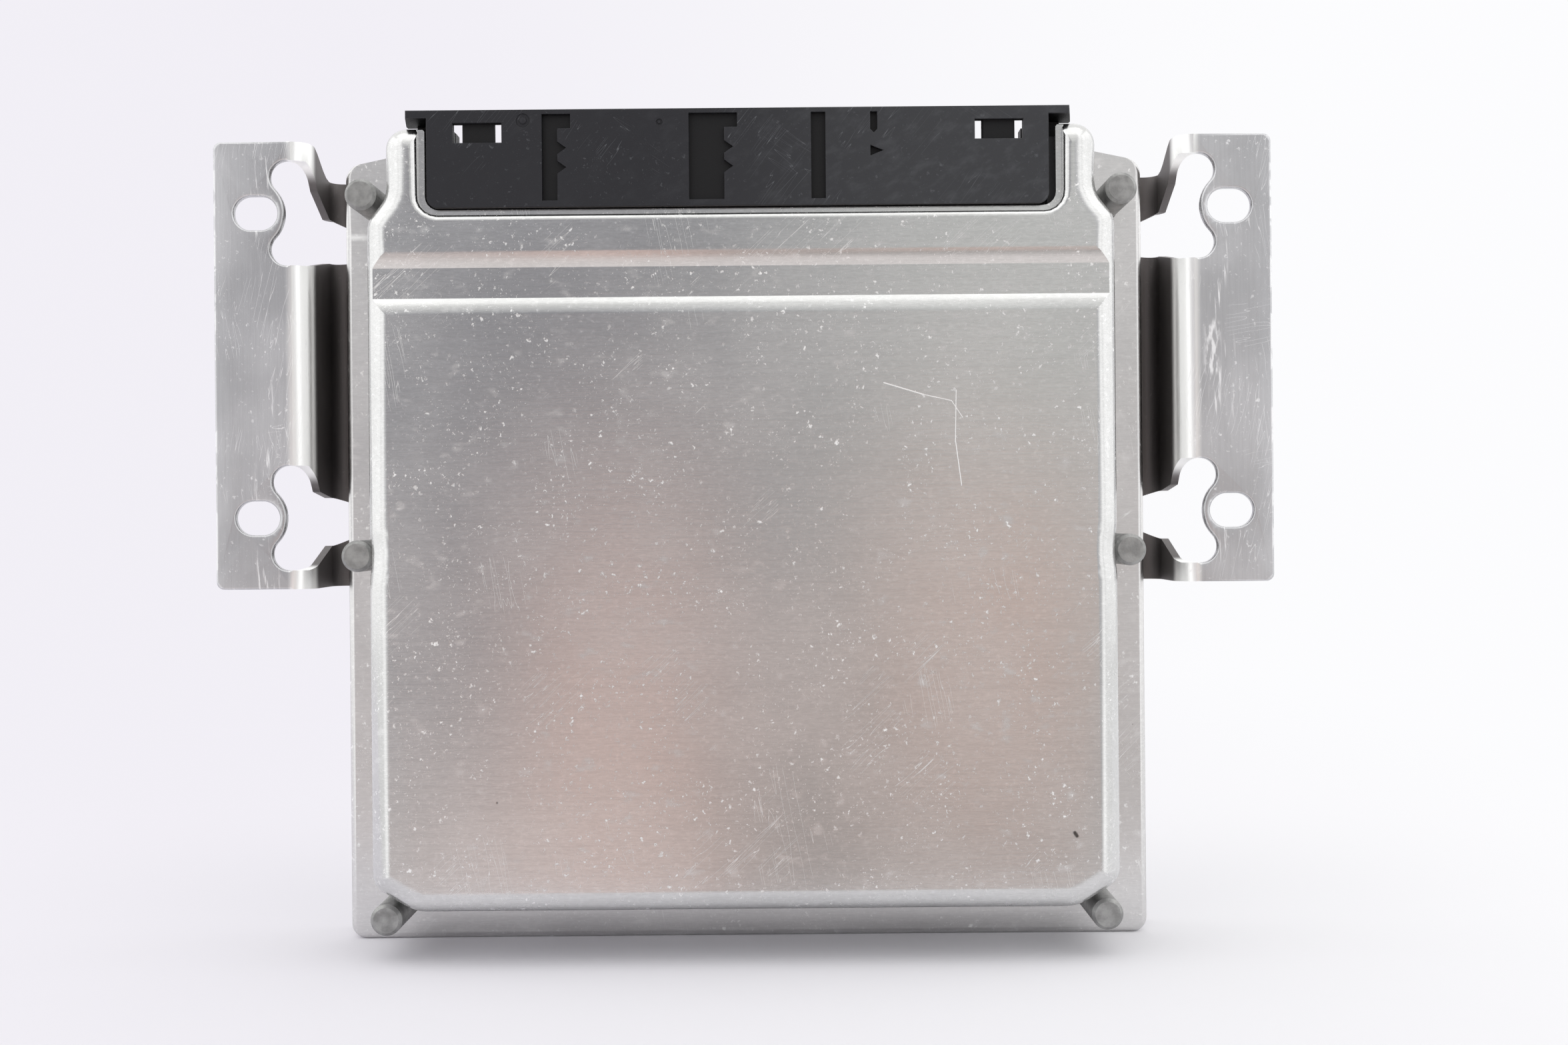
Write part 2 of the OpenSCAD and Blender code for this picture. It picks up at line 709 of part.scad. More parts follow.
// Children at each of a list of places, on both sides of the case
module on_both_sides(spots) {
    for (s = spots)
        for (k = [-1, 1]) translate([k * s[0], s[1], 0]) children();
}

groove_high = case_h - groove_down - groove_slope;
groove_low = case_h - groove_down - groove_w + groove_slope;
// Side of the groove from its floor's edge to just above the face: [way out, height]
groove_side = [
    for (i = [0:curve_steps])
        let (t = 1.1 * i / curve_steps)
        [groove_slope * t, groove_d * t * (1.8 - 0.8 * t)]
];

// Section of the groove, which reaches out above the face
module groove_section() {
    floor_z = tub_h - groove_d;
    out = 1.1 * groove_slope;
    polygon(concat(
        [for (p = groove_side) [groove_high + p[0], floor_z + p[1]]],
        [[groove_high + out, tub_h + cut], [groove_low - out, tub_h + cut]],
        [for (i = [curve_steps:-1:0]) [groove_low - groove_side[i][0], floor_z + groove_side[i][1]]]
    ));
}

// Section of the sheet pressed in behind the groove
module groove_back() {
    inner_z = tub_h - sheet_t;
    low = groove_low - sheet_t / 2;
    high = groove_high + sheet_t / 2;
    polygon([
        [low, inner_z - groove_d], [high, inner_z - groove_d],
        [high + groove_slope, inner_z + ring_step], [low - groove_slope, inner_z + ring_step]
    ]);
}

module front_shell() {
    groove_half = tub_half - draft - edge_r / 2;
    cut_half = notch_half + notch_wall + ring_step;
    color("#a9a8a4") upright() difference() {
        union() {
            drawn_shell(outside_rings, inside_rings);
            along_x(-groove_half, groove_half) groove_back();
        }
        along_x(-case_half, case_half) groove_section();
        box(-cut_half, cut_half, notch_y - notch_wall - ring_step, arm_top + cut,
            skirt_rim_z - cut, ledge_z - sheet_t);
        on_both_sides(post_spots) along_z(-sheet_t - cut, base_r + 2 * ring_step)
            circle(post_r + post_clear);
    }
}

// Quarter of a bent sheet round [x, z]; sx and sz give the quarter's side
module bend(x, z, r_out, sx, sz) {
    translate([x, z]) intersection() {
        difference() {
            circle(r_out);
            circle(r_out - sheet_t);
        }
        translate([sx < 0 ? -r_out : 0, sz < 0 ? -r_out : 0]) square(r_out);
    }
}

// Section of a bracket: foot, bend, wall, bend and tab
module bracket_section() {
    foot_r = foot_bend_r + sheet_t;
    foot_x = wall_x - foot_bend_r;
    foot_z = foot_bend_r - case_back;
    translate([case_half - cut, plate_z]) square([foot_x - case_half + cut, sheet_t]);
    bend(foot_x, foot_z, foot_r, 1, -1);
    translate([wall_x, foot_z]) square([sheet_t, tab_z - tab_bend_r - foot_z]);
    bend(bend_x, tab_z - tab_bend_r, tab_bend_r, -1, 1);
    translate([bend_x, tab_z - sheet_t]) square([tab_x - bend_x, sheet_t]);
}

// What is cut off a bracket's upper end, drawn in y and z: its edge runs down in an S from the
// tab to the foot
module wall_top() {
    tab_low = tab_z - sheet_t;
    foot_z = foot_bend_r - case_back;
    high = bracket_high + ring_step;
    drop = wall_drop + ring_step;
    polygon(concat(
        [[high + cut, tab_low]],
        [
            for (i = [0:curve_steps])
                let (t = i / curve_steps)
                [high - drop * (1 - cos(180 * t)) / 2, tab_low - (tab_low - foot_z) * t]
        ],
        [[bracket_high - wall_drop, plate_z - cut], [high + cut, plate_z - cut]]
    ));
}

// Wavy cut-out on the tab round a slot's tongue
module tab_cutout(y) {
    meet = lobe_r / (lobe_r + tongue_r);
    meet_x = lobe_x + (tongue_x + tongue_r - lobe_x) * meet;
    difference() {
        union() {
            for (k = [-1, 1]) translate([lobe_x, y + k * lobe_off]) circle(lobe_r);
            translate([bend_x, y - lobe_off]) square([meet_x - bend_x, 2 * lobe_off]);
            translate([bend_x - ring_step, y - lobe_off - lobe_r])
                square([lobe_x - bend_x + ring_step, 2 * (lobe_off + lobe_r)]);
        }
        translate([tongue_x + tongue_r, y]) circle(tongue_r);
        translate([0, bracket_low]) square([bend_x - ring_step, bracket_h]);
    }
}

// The same cut-out where it runs down the wall, drawn in y and z
module wall_cutout(y, foot) {
    reach = lobe_off + lobe_r;
    neck_z = tab_z - tab_bend_r - sheet_t;
    low_z = foot_bend_r - case_back - ring_step;
    polygon([
        [y - reach, tab_z + cut], [y - reach, tab_z - sheet_t],
        [y + foot[0], low_z], [y + foot[1], low_z],
        [y + reach - wall_drop, neck_z], [y + reach, tab_z - sheet_t], [y + reach, tab_z + cut]
    ]);
}

// The same cut-out where it runs along the foot to the skirt
module foot_cutout(y, foot, mouth) {
    end_x = case_half + mouth_clear;
    polygon([
        [end_x, y + mouth[0]], [wall_x, y + foot[0]], [bend_x, y + foot[0]],
        [bend_x, y + foot[1]], [wall_x, y + foot[1]], [end_x, y + mouth[1]]
    ]);
}

module slot(length, width) {
    square([length - width, width], center = true);
    for (k = [-1, 1]) translate([k * (length - width) / 2, 0]) circle(width / 2);
}

module bracket() {
    difference() {
        intersection() {
            along_y(bracket_low - cut, bracket_high + cut) bracket_section();
            along_z(plate_z - cut, tab_z + cut)
                round_rect(case_half - cut - tab_corner_r, tab_x, bracket_low, bracket_high, tab_corner_r);
        }
        along_x(case_half - 2 * cut, bend_x) wall_top();
        for (i = [0, 1]) {
            along_z(tab_z - 2 * sheet_t, tab_z + cut) {
                tab_cutout(slot_spots[i]);
                translate([slot_x, slot_spots[i]]) slot(slot_l, slot_w);
            }
            along_x(wall_x - foot_bend_r, bend_x) wall_cutout(slot_spots[i], foot_cuts[i]);
            along_z(plate_z - cut, foot_bend_r - case_back)
                foot_cutout(slot_spots[i], foot_cuts[i], mouth_cuts[i]);
        }
    }
}

// Children at each stiffening bead of the rear plate
module at_beads() {
    for (i = [1:bead_n]) translate([0, i * case_h / (bead_n + 1), 0]) children();
}

module rear_plate() {
    color("#b4b3af") upright() difference() {
        union() {
            along_z(plate_z, -case_back) round_rect(-case_half, case_half, 0, case_h, skirt_low_r);
            bracket();
            mirror([1, 0, 0]) bracket();
            at_beads() along_z(plate_z - bead_d, plate_z + ring_step) slot(bead_l, bead_w);
        }
        at_beads() along_z(-case_back - bead_d, cut - case_back)
            slot(bead_l - 2 * sheet_t, bead_w - 2 * sheet_t);
        on_both_sides(post_spots) along_z(plate_z - cut, cut - case_back)
            circle(cover_screw_d / 2 + plate_hole_play);
    }
}

module threaded_posts() {
    color("#6f6f6d") upright() on_both_sides(post_spots) difference() {
        rotate_extrude() polygon([
            [0, -case_back], [collar_r, -case_back], [collar_r, -sheet_t - ring_step],
            [post_r, -sheet_t - ring_step], [post_r, post_top - post_chamfer],
            [post_r - post_chamfer, post_top], [0, post_top]
        ]);
        along_z(-case_back - cut, cover_screw_l - sheet_t - case_back + cut)
            circle(cover_screw_d / 2 + thread_play);
    }
}

// Pan-head screw along z with its head's underside on zero and a six-sided socket
module pan_screw(d, l, head_d, head_h) {
    cheek_h = head_h * 0.6;
    crown_r = head_d * 0.36;
    socket_r = d * 0.32;
    socket_low = head_h * 0.4;
    difference() {
        rotate_extrude() polygon([
            [0, -l], [d / 2, -l], [d / 2, 0], [head_d / 2, 0], [head_d / 2, cheek_h],
            [crown_r, head_h], [0, head_h]
        ]);
        translate([0, 0, socket_low]) cylinder(h = head_h, r = socket_r, $fn = 6);
    }
}

module cover_screws() {
    color("#8d8d8a") upright() on_both_sides(post_spots)
        translate([0, 0, plate_z]) rotate([180, 0, 0])
            pan_screw(cover_screw_d, cover_screw_l, cover_head_d, cover_head_h);
}

// Keyway with a wider head and two pointed teeth on its right
module keyway(x, w) {
    right = x + w;
    translate([x, key_low]) square([w, key_high - key_low]);
    translate([x, key_high - key_head_h]) square([w + tooth_l + key_head_out, key_head_h]);
    for (y = tooth_ys)
        polygon([
            [right - cut, y - tooth_half], [right, y - tooth_half], [right + tooth_l, y],
            [right, y + tooth_half], [right - cut, y + tooth_half]
        ]);
}

// Keyways, bar and pointers sunk into the header's front
module front_marks() {
    for (k = keyways) keyway(k[0], k[1]);
    translate([key_bar[0], key_low]) square([key_bar[1], key_high - key_low]);
    translate([pointer_x, key_high - pointer_l]) polygon([
        [0, pointer_l], [0, pointer_w / 2], [pointer_w / 2, 0], [pointer_w, pointer_w / 2],
        [pointer_w, pointer_l]
    ]);
    translate([pointer_x, arrow_y]) polygon([[0, -arrow_half], [arrow_l, 0], [0, arrow_half]]);
}

// Ring and dot left by the mould on the header's front
module moulding_marks() {
    for (m = gate_marks) translate([m[0], m[1]]) difference() {
        circle(m[2]);
        circle(m[2] / 2);
    }
}

// Latch window w: a sunk tongue with a slit through the wall at either end, and a notch n in the
// rear wall behind it
module latch_window(w, n) {
    y1 = mouth_y - window_down;
    y0 = y1 - window_h;
    box(w[0], w[1], y0, y1, header_z - key_d, header_z + cut);
    box(w[0], w[0] + w[2], y0, y1, bay_front_z - cut, header_z + cut);
    box(w[1] - w[3], w[1], y0, y1, bay_front_z - cut, header_z + cut);
    box(n[0], n[1], mouth_y - latch_notch, mouth_y + cut, header_rear_z - bay_wall - cut,
        bay_front_z - bay_d + cut);
}

module connector_header() {
    x0 = header_shift - header_half;
    x1 = header_shift + header_half;
    wing_out = rim_out + rim_flare;
    color("#1b1b1c") upright() difference() {
        union() {
            along_z(block_top_z, header_z) {
                round_rect(x0, x1, header_low, mouth_y, header_r);
                translate([x0, mouth_y - header_r]) square([header_w, header_r]);
            }
            box(x0, x1, block_low, mouth_y, header_rear_z, block_top_z);
            box(header_shift - block_half, header_shift + block_half, block_low, block_high,
                header_rear_z, block_top_z);
            box(header_shift - block_half, header_shift + block_half, web_low, web_high,
                skirt_rim_z, header_rear_z);
            box(x0, x1, mouth_y - rim_h, mouth_y, header_rear_z - bay_wall, header_z);
            intersection() {
                along_z(header_z - rim_d, header_z)
                    round_rect(x0 - wing_out, x1 + wing_out, mouth_y - rim_h, mouth_y, rim_h / 3);
                along_y(mouth_y - rim_h - cut, mouth_y + cut) polygon([
                    [x0 - rim_out, header_z], [x1 + rim_out, header_z],
                    [x1 + wing_out, header_z - rim_d], [x0 - wing_out, header_z - rim_d]
                ]);
            }
        }
        for (i = [0:len(bays) - 1])
            box(bay_x(i), bay_x(i) + bay_w(i), block_low - cut, mouth_y + cut,
                bay_front_z - bay_d, bay_front_z);
        along_z(header_z - key_d, header_z + cut) front_marks();
        along_z(header_z - mark_d, header_z + cut) moulding_marks();
        for (i = [0, 1]) latch_window(latch_windows[i], latch_notches[i]);
    }
}

// Children at every contact of the bays with the given pitch
module at_contacts(pitch) {
    for (i = [0:len(bays) - 1])
        if (bays[i][2] == pitch)
            for (c = [0:bays[i][0] - 1])
                for (r = [0:bays[i][1] - 1]) {
                    $x = contact_x(i, c);
                    $z = contact_z(i, r);
                    $tail = tail_y(i, r);
                    children();
                }
}

module contact_carriers() {
    color("#262628") upright() difference() {
        for (i = [0:len(bays) - 1])
            box(bay_x(i), bay_x(i) + bay_w(i), header_low, carrier_top,
                bay_front_z - bay_d, bay_front_z);
        along_y(header_low - cut, carrier_top + cut) {
            at_contacts(signal_pitch) translate([$x, $z]) square(signal_t, center = true);
            at_contacts(power_pitch) translate([$x, $z]) square([power_w, power_t], center = true);
        }
    }
}

// Bent contact: along the bay, out of its carrier and down through the board
module bent_contact(w, t) {
    tip = carrier_top + contact_free;
    tail_z = board_z - contact_tail;
    along_x($x - w / 2, $x + w / 2) polygon([
        [$tail - t / 2, tail_z], [$tail + t / 2, tail_z], [$tail + t / 2, $z - t / 2],
        [tip, $z - t / 2], [tip, $z + t / 2], [$tail - t / 2, $z + t / 2]
    ]);
}

module signal_contacts() {
    color("#c9a94f") upright() at_contacts(signal_pitch) bent_contact(signal_t, signal_t);
}

module power_contacts() {
    color("#c9c6bd") upright() at_contacts(power_pitch) bent_contact(power_w, power_t);
}

// Flat seal on the header's shoulder, under the notch's ledge
module header_seal() {
    color("#2e2e30") upright() along_z(block_top_z, block_top_z + seal_t) difference() {
        translate([header_shift - block_half, block_low])
            square([2 * block_half, block_high - block_low]);
        translate([header_shift - header_half, header_low])
            square([header_w, case_h - header_low]);
    }
}

module perimeter_seal() {
    color("#2e2e30") upright() along_z(-case_back, skirt_rim_z) difference() {
        union() {
            difference() {
                round_rect(-case_half, case_half, 0, case_h, skirt_low_r);
                translate([seal_w - case_half, seal_w])
                    square([2 * (case_half - seal_w), case_h - 2 * seal_w]);
            }
            translate([-block_half - seal_w, web_low])
                square([2 * (block_half + seal_w), case_h - web_low - cut]);
        }
        on_both_sides(post_spots) circle(collar_r + post_clear);
    }
}

module circuit_board() {
    color("#2f6b3c") upright() along_z(board_z, board_top) difference() {
        translate([-board_half, board_low]) square([2 * board_half, board_high - board_low]);
        for (p = spacer_spots) translate(p) circle(board_screw_d / 2 + plate_hole_play);
        for (x = rail_screw_xs)
            translate([x, rail_low + rail_t / 2]) circle(board_screw_d / 2 + plate_hole_play);
        at_contacts(signal_pitch) translate([$x, $tail]) circle(signal_t / sqrt(2) + hole_clear);
        at_contacts(power_pitch) translate([$x, $tail])
            circle(norm([power_w, power_t]) / 2 + hole_clear);
    }
}

module board_spacers() {
    color("#b9b6a8") upright() for (p = spacer_spots)
        translate([p[0], p[1], -case_back]) difference() {
            cylinder(h = spacer_h, r = spacer_d / 2);
            translate([0, 0, -cut]) cylinder(h = spacer_h + 2 * cut, r = board_screw_d / 2 + thread_play);
        }
}

module board_screws() {
    color("#a8a8a4") upright() for (p = spacer_spots)
        translate([p[0], p[1], board_top])
            pan_screw(board_screw_d, board_t + spacer_h - ring_step, board_head_d, board_head_h);
}

// Flat chip on the board: body w by l by h with leads along its sides
module chip(w, l, h, sides) {
    lead_w = lead_pitch * 0.45;
    lead_h = h * 0.4;
    lift = 0.15;
    end_room = 2;
    translate([0, 0, board_top + lift + h / 2]) cube([w, l, h], center = true);
    for (a = sides) rotate(a) {
        across = a % 180 == 0 ? w : l;
        reach = a % 180 == 0 ? l : w;
        n = floor((across - end_room) / lead_pitch);
        for (i = [0:n - 1])
            translate([(i - (n - 1) / 2) * lead_pitch, ring_step - (reach + lead_l) / 2,
                board_top + lead_h / 2])
                cube([lead_w, lead_l, lead_h], center = true);
    }
}

module processor() {
    color("#242424") upright() translate([cpu_x, row_mid(3), 0])
        chip(cpu_w, cpu_w, cpu_h, [0, 90, 180, 270]);
}

module memory_chips() {
    color("#2a2a2a") upright() for (k = [-1, 1])
        translate([cpu_x + k * memory_off, row_mid(3), 0]) chip(memory_w, memory_l, memory_h, [90, 270]);
}

module driver_chips() {
    color("#2a2a2a") upright() for (k = [-1.5:1.5])
        translate([k * driver_pitch, row_mid(1), 0]) chip(driver_w, driver_l, driver_h, [90, 270]);
}

module voltage_regulator() {
    half = regulator_w / 2;
    front = regulator_l / 2;
    tab_out = 2.5;
    tab_t = 1.3;
    lead_half = 0.4;
    lead_t = 0.6;
    color("#2a2a2a") upright() translate([regulator_share * board_half, row_mid(2), board_top]) {
        box(-half, half, -front, front, 0, regulator_h);
        box(cut - half, half - cut, front - cut, front + tab_out, 0, tab_t);
        for (k = [-1:1])
            box(k * lead_third - lead_half, k * lead_third + lead_half,
                -regulator_foot, cut - front, 0, lead_t);
    }
}

module crystal() {
    base_h = 0.6;
    x = cpu_x - cpu_w / 2 - lead_l - can_clear - (can_w + 1) / 2;
    color("#c4c4c0") upright() translate([x, row_mid(3), 0]) rotate(90) {
        along_z(board_top, board_top + base_h) slot(can_l + 1, can_w + 1);
        along_z(board_top + base_h - ring_step, board_top + can_h) slot(can_l, can_w);
    }
}

// Children at each power transistor, x on its middle
module at_transistors() {
    for (i = [0:transistor_n - 1])
        translate([(i - (transistor_n - 1) / 2) * transistor_pitch, 0, 0]) children();
}

module power_transistors() {
    low_z = board_top + lead_lift;
    lead_y = transistor_face + transistor_t / 2;
    lead_w = 1;
    lead_t = 0.6;
    color("#262626") upright() at_transistors() {
        box(-transistor_w / 2, transistor_w / 2, transistor_face, transistor_front,
            low_z, low_z + transistor_h);
        for (k = [-1:1])
            box(k * lead_third - lead_w / 2, k * lead_third + lead_w / 2,
                lead_y - lead_t / 2, lead_y + lead_t / 2, board_top, low_z + cut);
    }
}

module thermal_pads() {
    low_z = board_top + lead_lift;
    color("#9fb7c9") upright() at_transistors()
        box(-transistor_w / 2, transistor_w / 2, rail_face, transistor_face, low_z, low_z + transistor_h);
}

module transistor_rail() {
    color("#b8b8b4") upright() difference() {
        box(-rail_l / 2, rail_l / 2, rail_low, rail_face, board_top, board_top + rail_h);
        for (x = rail_screw_xs)
            translate([x, rail_low + rail_t / 2, board_top - cut])
                cylinder(h = rail_screw_l, r = board_screw_d / 2 + thread_play);
    }
}

module rail_screws() {
    color("#a8a8a4") upright() for (x = rail_screw_xs)
        translate([x, rail_low + rail_t / 2, board_z]) rotate([180, 0, 0])
            pan_screw(board_screw_d, board_t + rail_screw_l - 2 * cut, board_head_d, board_head_h);
}

// Spring strips from the rail's top down onto the transistors' fronts
module spring_clips() {
    top_z = board_top + rail_h;
    clip_w = transistor_w * 0.6;
    press_z = board_top + lead_lift + transistor_h * 0.66;
    color("#9a9a98") upright() at_transistors() along_x(-clip_w / 2, clip_w / 2) {
        translate([rail_low, top_z]) square([transistor_front + clip_t - rail_low, clip_t]);
        translate([transistor_front, press_z]) square([clip_t, top_z - press_z + ring_step]);
    }
}

module filter_capacitors() {
    r = filter_d / 2;
    bead = 0.5;
    bead_up = filter_h / 6;
    color("#3b4a63") upright() for (k = filter_shares) translate([k * board_half, row_mid(2), board_top])
        rotate_extrude() polygon([
            [0, 0], [r, 0], [r, bead_up - bead], [r - bead, bead_up], [r, bead_up + bead],
            [r, filter_h - bead], [r - bead, filter_h], [0, filter_h]
        ]);
}

// Two rows of n small parts of height h, from y upwards
module small_parts(n, y, h) {
    for (i = [0:n - 1])
        for (k = [0, 1])
            translate([(i - (n - 1) / 2) * small_pitch, y + k * small_rows, board_top])
                box(-small_l / 2, small_l / 2, 0, small_w, 0, h);
}

module ceramic_capacitors() {
    color("#b59a78") upright() small_parts(ceramic_n, row_low(4), ceramic_h);
}

module resistors() {
    color("#1f1f1f") upright() small_parts(resistor_n, row_low(0), resistor_h);
}

module choke_core() {
    color("#3c3c3e") upright() translate([choke_share * board_half, row_mid(2), board_top])
        rotate_extrude() polygon([
            [0, 0], [choke_r, 0], [choke_r, choke_rim], [choke_core_r, choke_rim],
            [choke_core_r, choke_h - choke_rim], [choke_r, choke_h - choke_rim], [choke_r, choke_h],
            [0, choke_h]
        ]);
}

module choke_winding() {
    color("#b8713a") upright() translate([choke_share * board_half, row_mid(2), board_top + choke_rim])
        difference() {
            cylinder(h = choke_h - 2 * choke_rim, r = choke_r - choke_in);
            translate([0, 0, -cut]) cylinder(h = choke_h, r = choke_core_r);
        }
}

front_shell();
rear_plate();
threaded_posts();
cover_screws();
connector_header();
contact_carriers();
signal_contacts();
power_contacts();
header_seal();
perimeter_seal();
circuit_board();
board_spacers();
board_screws();
processor();
memory_chips();
driver_chips();
voltage_regulator();
crystal();
power_transistors();
thermal_pads();
transistor_rail();
rail_screws();
spring_clips();
filter_capacitors();
ceramic_capacitors();
resistors();
choke_core();
choke_winding();
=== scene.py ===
"""Engine control unit: finishes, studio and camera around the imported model.

Metres throughout, in the model's own frame: x right, y away from the camera, z up.
Patterns in the materials are written in millimetres of the object's own coordinates.
"""
import math

import bmesh
import bpy
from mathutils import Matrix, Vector


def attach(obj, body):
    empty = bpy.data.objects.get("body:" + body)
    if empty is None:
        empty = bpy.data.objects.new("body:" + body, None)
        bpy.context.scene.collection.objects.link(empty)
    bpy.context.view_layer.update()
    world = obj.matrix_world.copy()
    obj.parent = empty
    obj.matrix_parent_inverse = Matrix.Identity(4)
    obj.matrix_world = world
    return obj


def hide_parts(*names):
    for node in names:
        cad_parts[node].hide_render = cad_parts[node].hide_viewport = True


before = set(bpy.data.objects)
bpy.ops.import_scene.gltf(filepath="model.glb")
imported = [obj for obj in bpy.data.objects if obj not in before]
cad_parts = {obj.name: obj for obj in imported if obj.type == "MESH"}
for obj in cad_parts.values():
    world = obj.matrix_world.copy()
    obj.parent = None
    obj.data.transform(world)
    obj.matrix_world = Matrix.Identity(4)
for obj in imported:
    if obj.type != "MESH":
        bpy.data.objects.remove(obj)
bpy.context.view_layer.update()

MM = 0.001
# Height of the slots' middle over the lower edge, and of the tabs' rear over the flange's front, in mm
SLOT_MID = 116.8
TAB_REAR = 6.5
FLOOR_Z = -SLOT_MID * MM
# Front of the header and of the tabs, in mm along y
FRONT_Y = -18.5
TAB_FRONT_Y = -1.5
# Outer edge of the tabs, in mm from the middle
TAB_EDGE = 105.9
# Long scratches on the face in mm: start (x, z), end (x, z) and half width
SCRATCHES = (
    ((27.0, -5.9), (34.5, -8.2), 0.16), ((34.5, -8.2), (39.8, -9.4), 0.1),
    ((39.8, -9.4), (41.9, -12.6), 0.09), ((40.7, -7.4), (40.5, -17.0), 0.11),
    ((40.5, -17.0), (41.6, -25.5), 0.13),
)
# Dent near the lower right corner of the face, and rubbed patch on the right tab, in the same way
DENT = ((62.5, -91.7), (62.9, -92.3), 0.5)
RUBBED = ((93.7, -2.0), (93.9, 6.0), 2.2)
# Zones of the side brackets in mm: where each begins, is full, begins to end and has ended. The bend zone
# holds a painted highlight; the wall zone and depth hold painted shade.
SCUFF_LANE = (92.5, 94.5, 96.5, 99.5)
BEND_HIGHLIGHT_ZONE = (84.0, 86.0, 90.4, 91.8)
WALL_SHADE_ZONE = (81.0, 82.0, 88.4, 88.9)
WALL_SHADE_DEPTH = (0.8, 3.6, 17.1, 17.6)


def plan(x, y, z):
    """World point of a place on the unit: x right, y up the face, z out of the flange, in mm."""
    return (x * MM, (TAB_REAR - z) * MM, (y - SLOT_MID) * MM)


class Nodes:
    """A node tree being made: each call adds a node, and most give back its output socket."""

    def __init__(self, tree):
        self.tree = tree
        tree.nodes.clear()

    def add(self, kind, feeds=None, **settings):
        made = self.tree.nodes.new(kind)
        for key, value in settings.items():
            setattr(made, key, value)
        for key, value in (feeds or {}).items():
            if isinstance(value, bpy.types.NodeSocket):
                self.tree.links.new(value, made.inputs[key])
            else:
                made.inputs[key].default_value = value
        return made

    def math(self, how, a, b):
        return self.add("ShaderNodeMath", {0: a, 1: b}, operation=how).outputs["Value"]

    def times(self, a, b):
        return self.math("MULTIPLY", a, b)

    def plus(self, a, b):
        return self.math("ADD", a, b)

    def size_of(self, a):
        return self.math("ABSOLUTE", a, 0.0)

    def either(self, *masks):
        joined = masks[0]
        for mask in masks[1:]:
            joined = self.math("MAXIMUM", joined, mask)
        return joined

    def vector(self, how, a, b, out="Vector"):
        return self.add("ShaderNodeVectorMath", {0: a, 1: b}, operation=how).outputs[out]

    def axes(self, place):
        return self.add("ShaderNodeSeparateXYZ", {0: place}).outputs

    def ramp(self, value, low, high, out_low=0.0, out_high=1.0):
        feeds = {"Value": value, "From Min": low, "From Max": high, "To Min": out_low, "To Max": out_high}
        return self.add("ShaderNodeMapRange", feeds, interpolation_type="SMOOTHSTEP").outputs["Result"]

    def between(self, value, begins, full, ending, ended):
        return self.times(self.ramp(value, begins, full), self.ramp(value, ended, ending))

    def band(self, value, low, high, soft):
        return self.between(value, low - soft, low + soft, high - soft, high + soft)

    def mix(self, amount, a, b):
        made = self.add("ShaderNodeMix", {0: amount}, data_type="RGBA")
        for socket, value in ((made.inputs[6], a), (made.inputs[7], b)):
            if isinstance(value, tuple):
                socket.default_value = (*value, 1)
            else:
                self.tree.links.new(value, socket)
        return made.outputs[2]


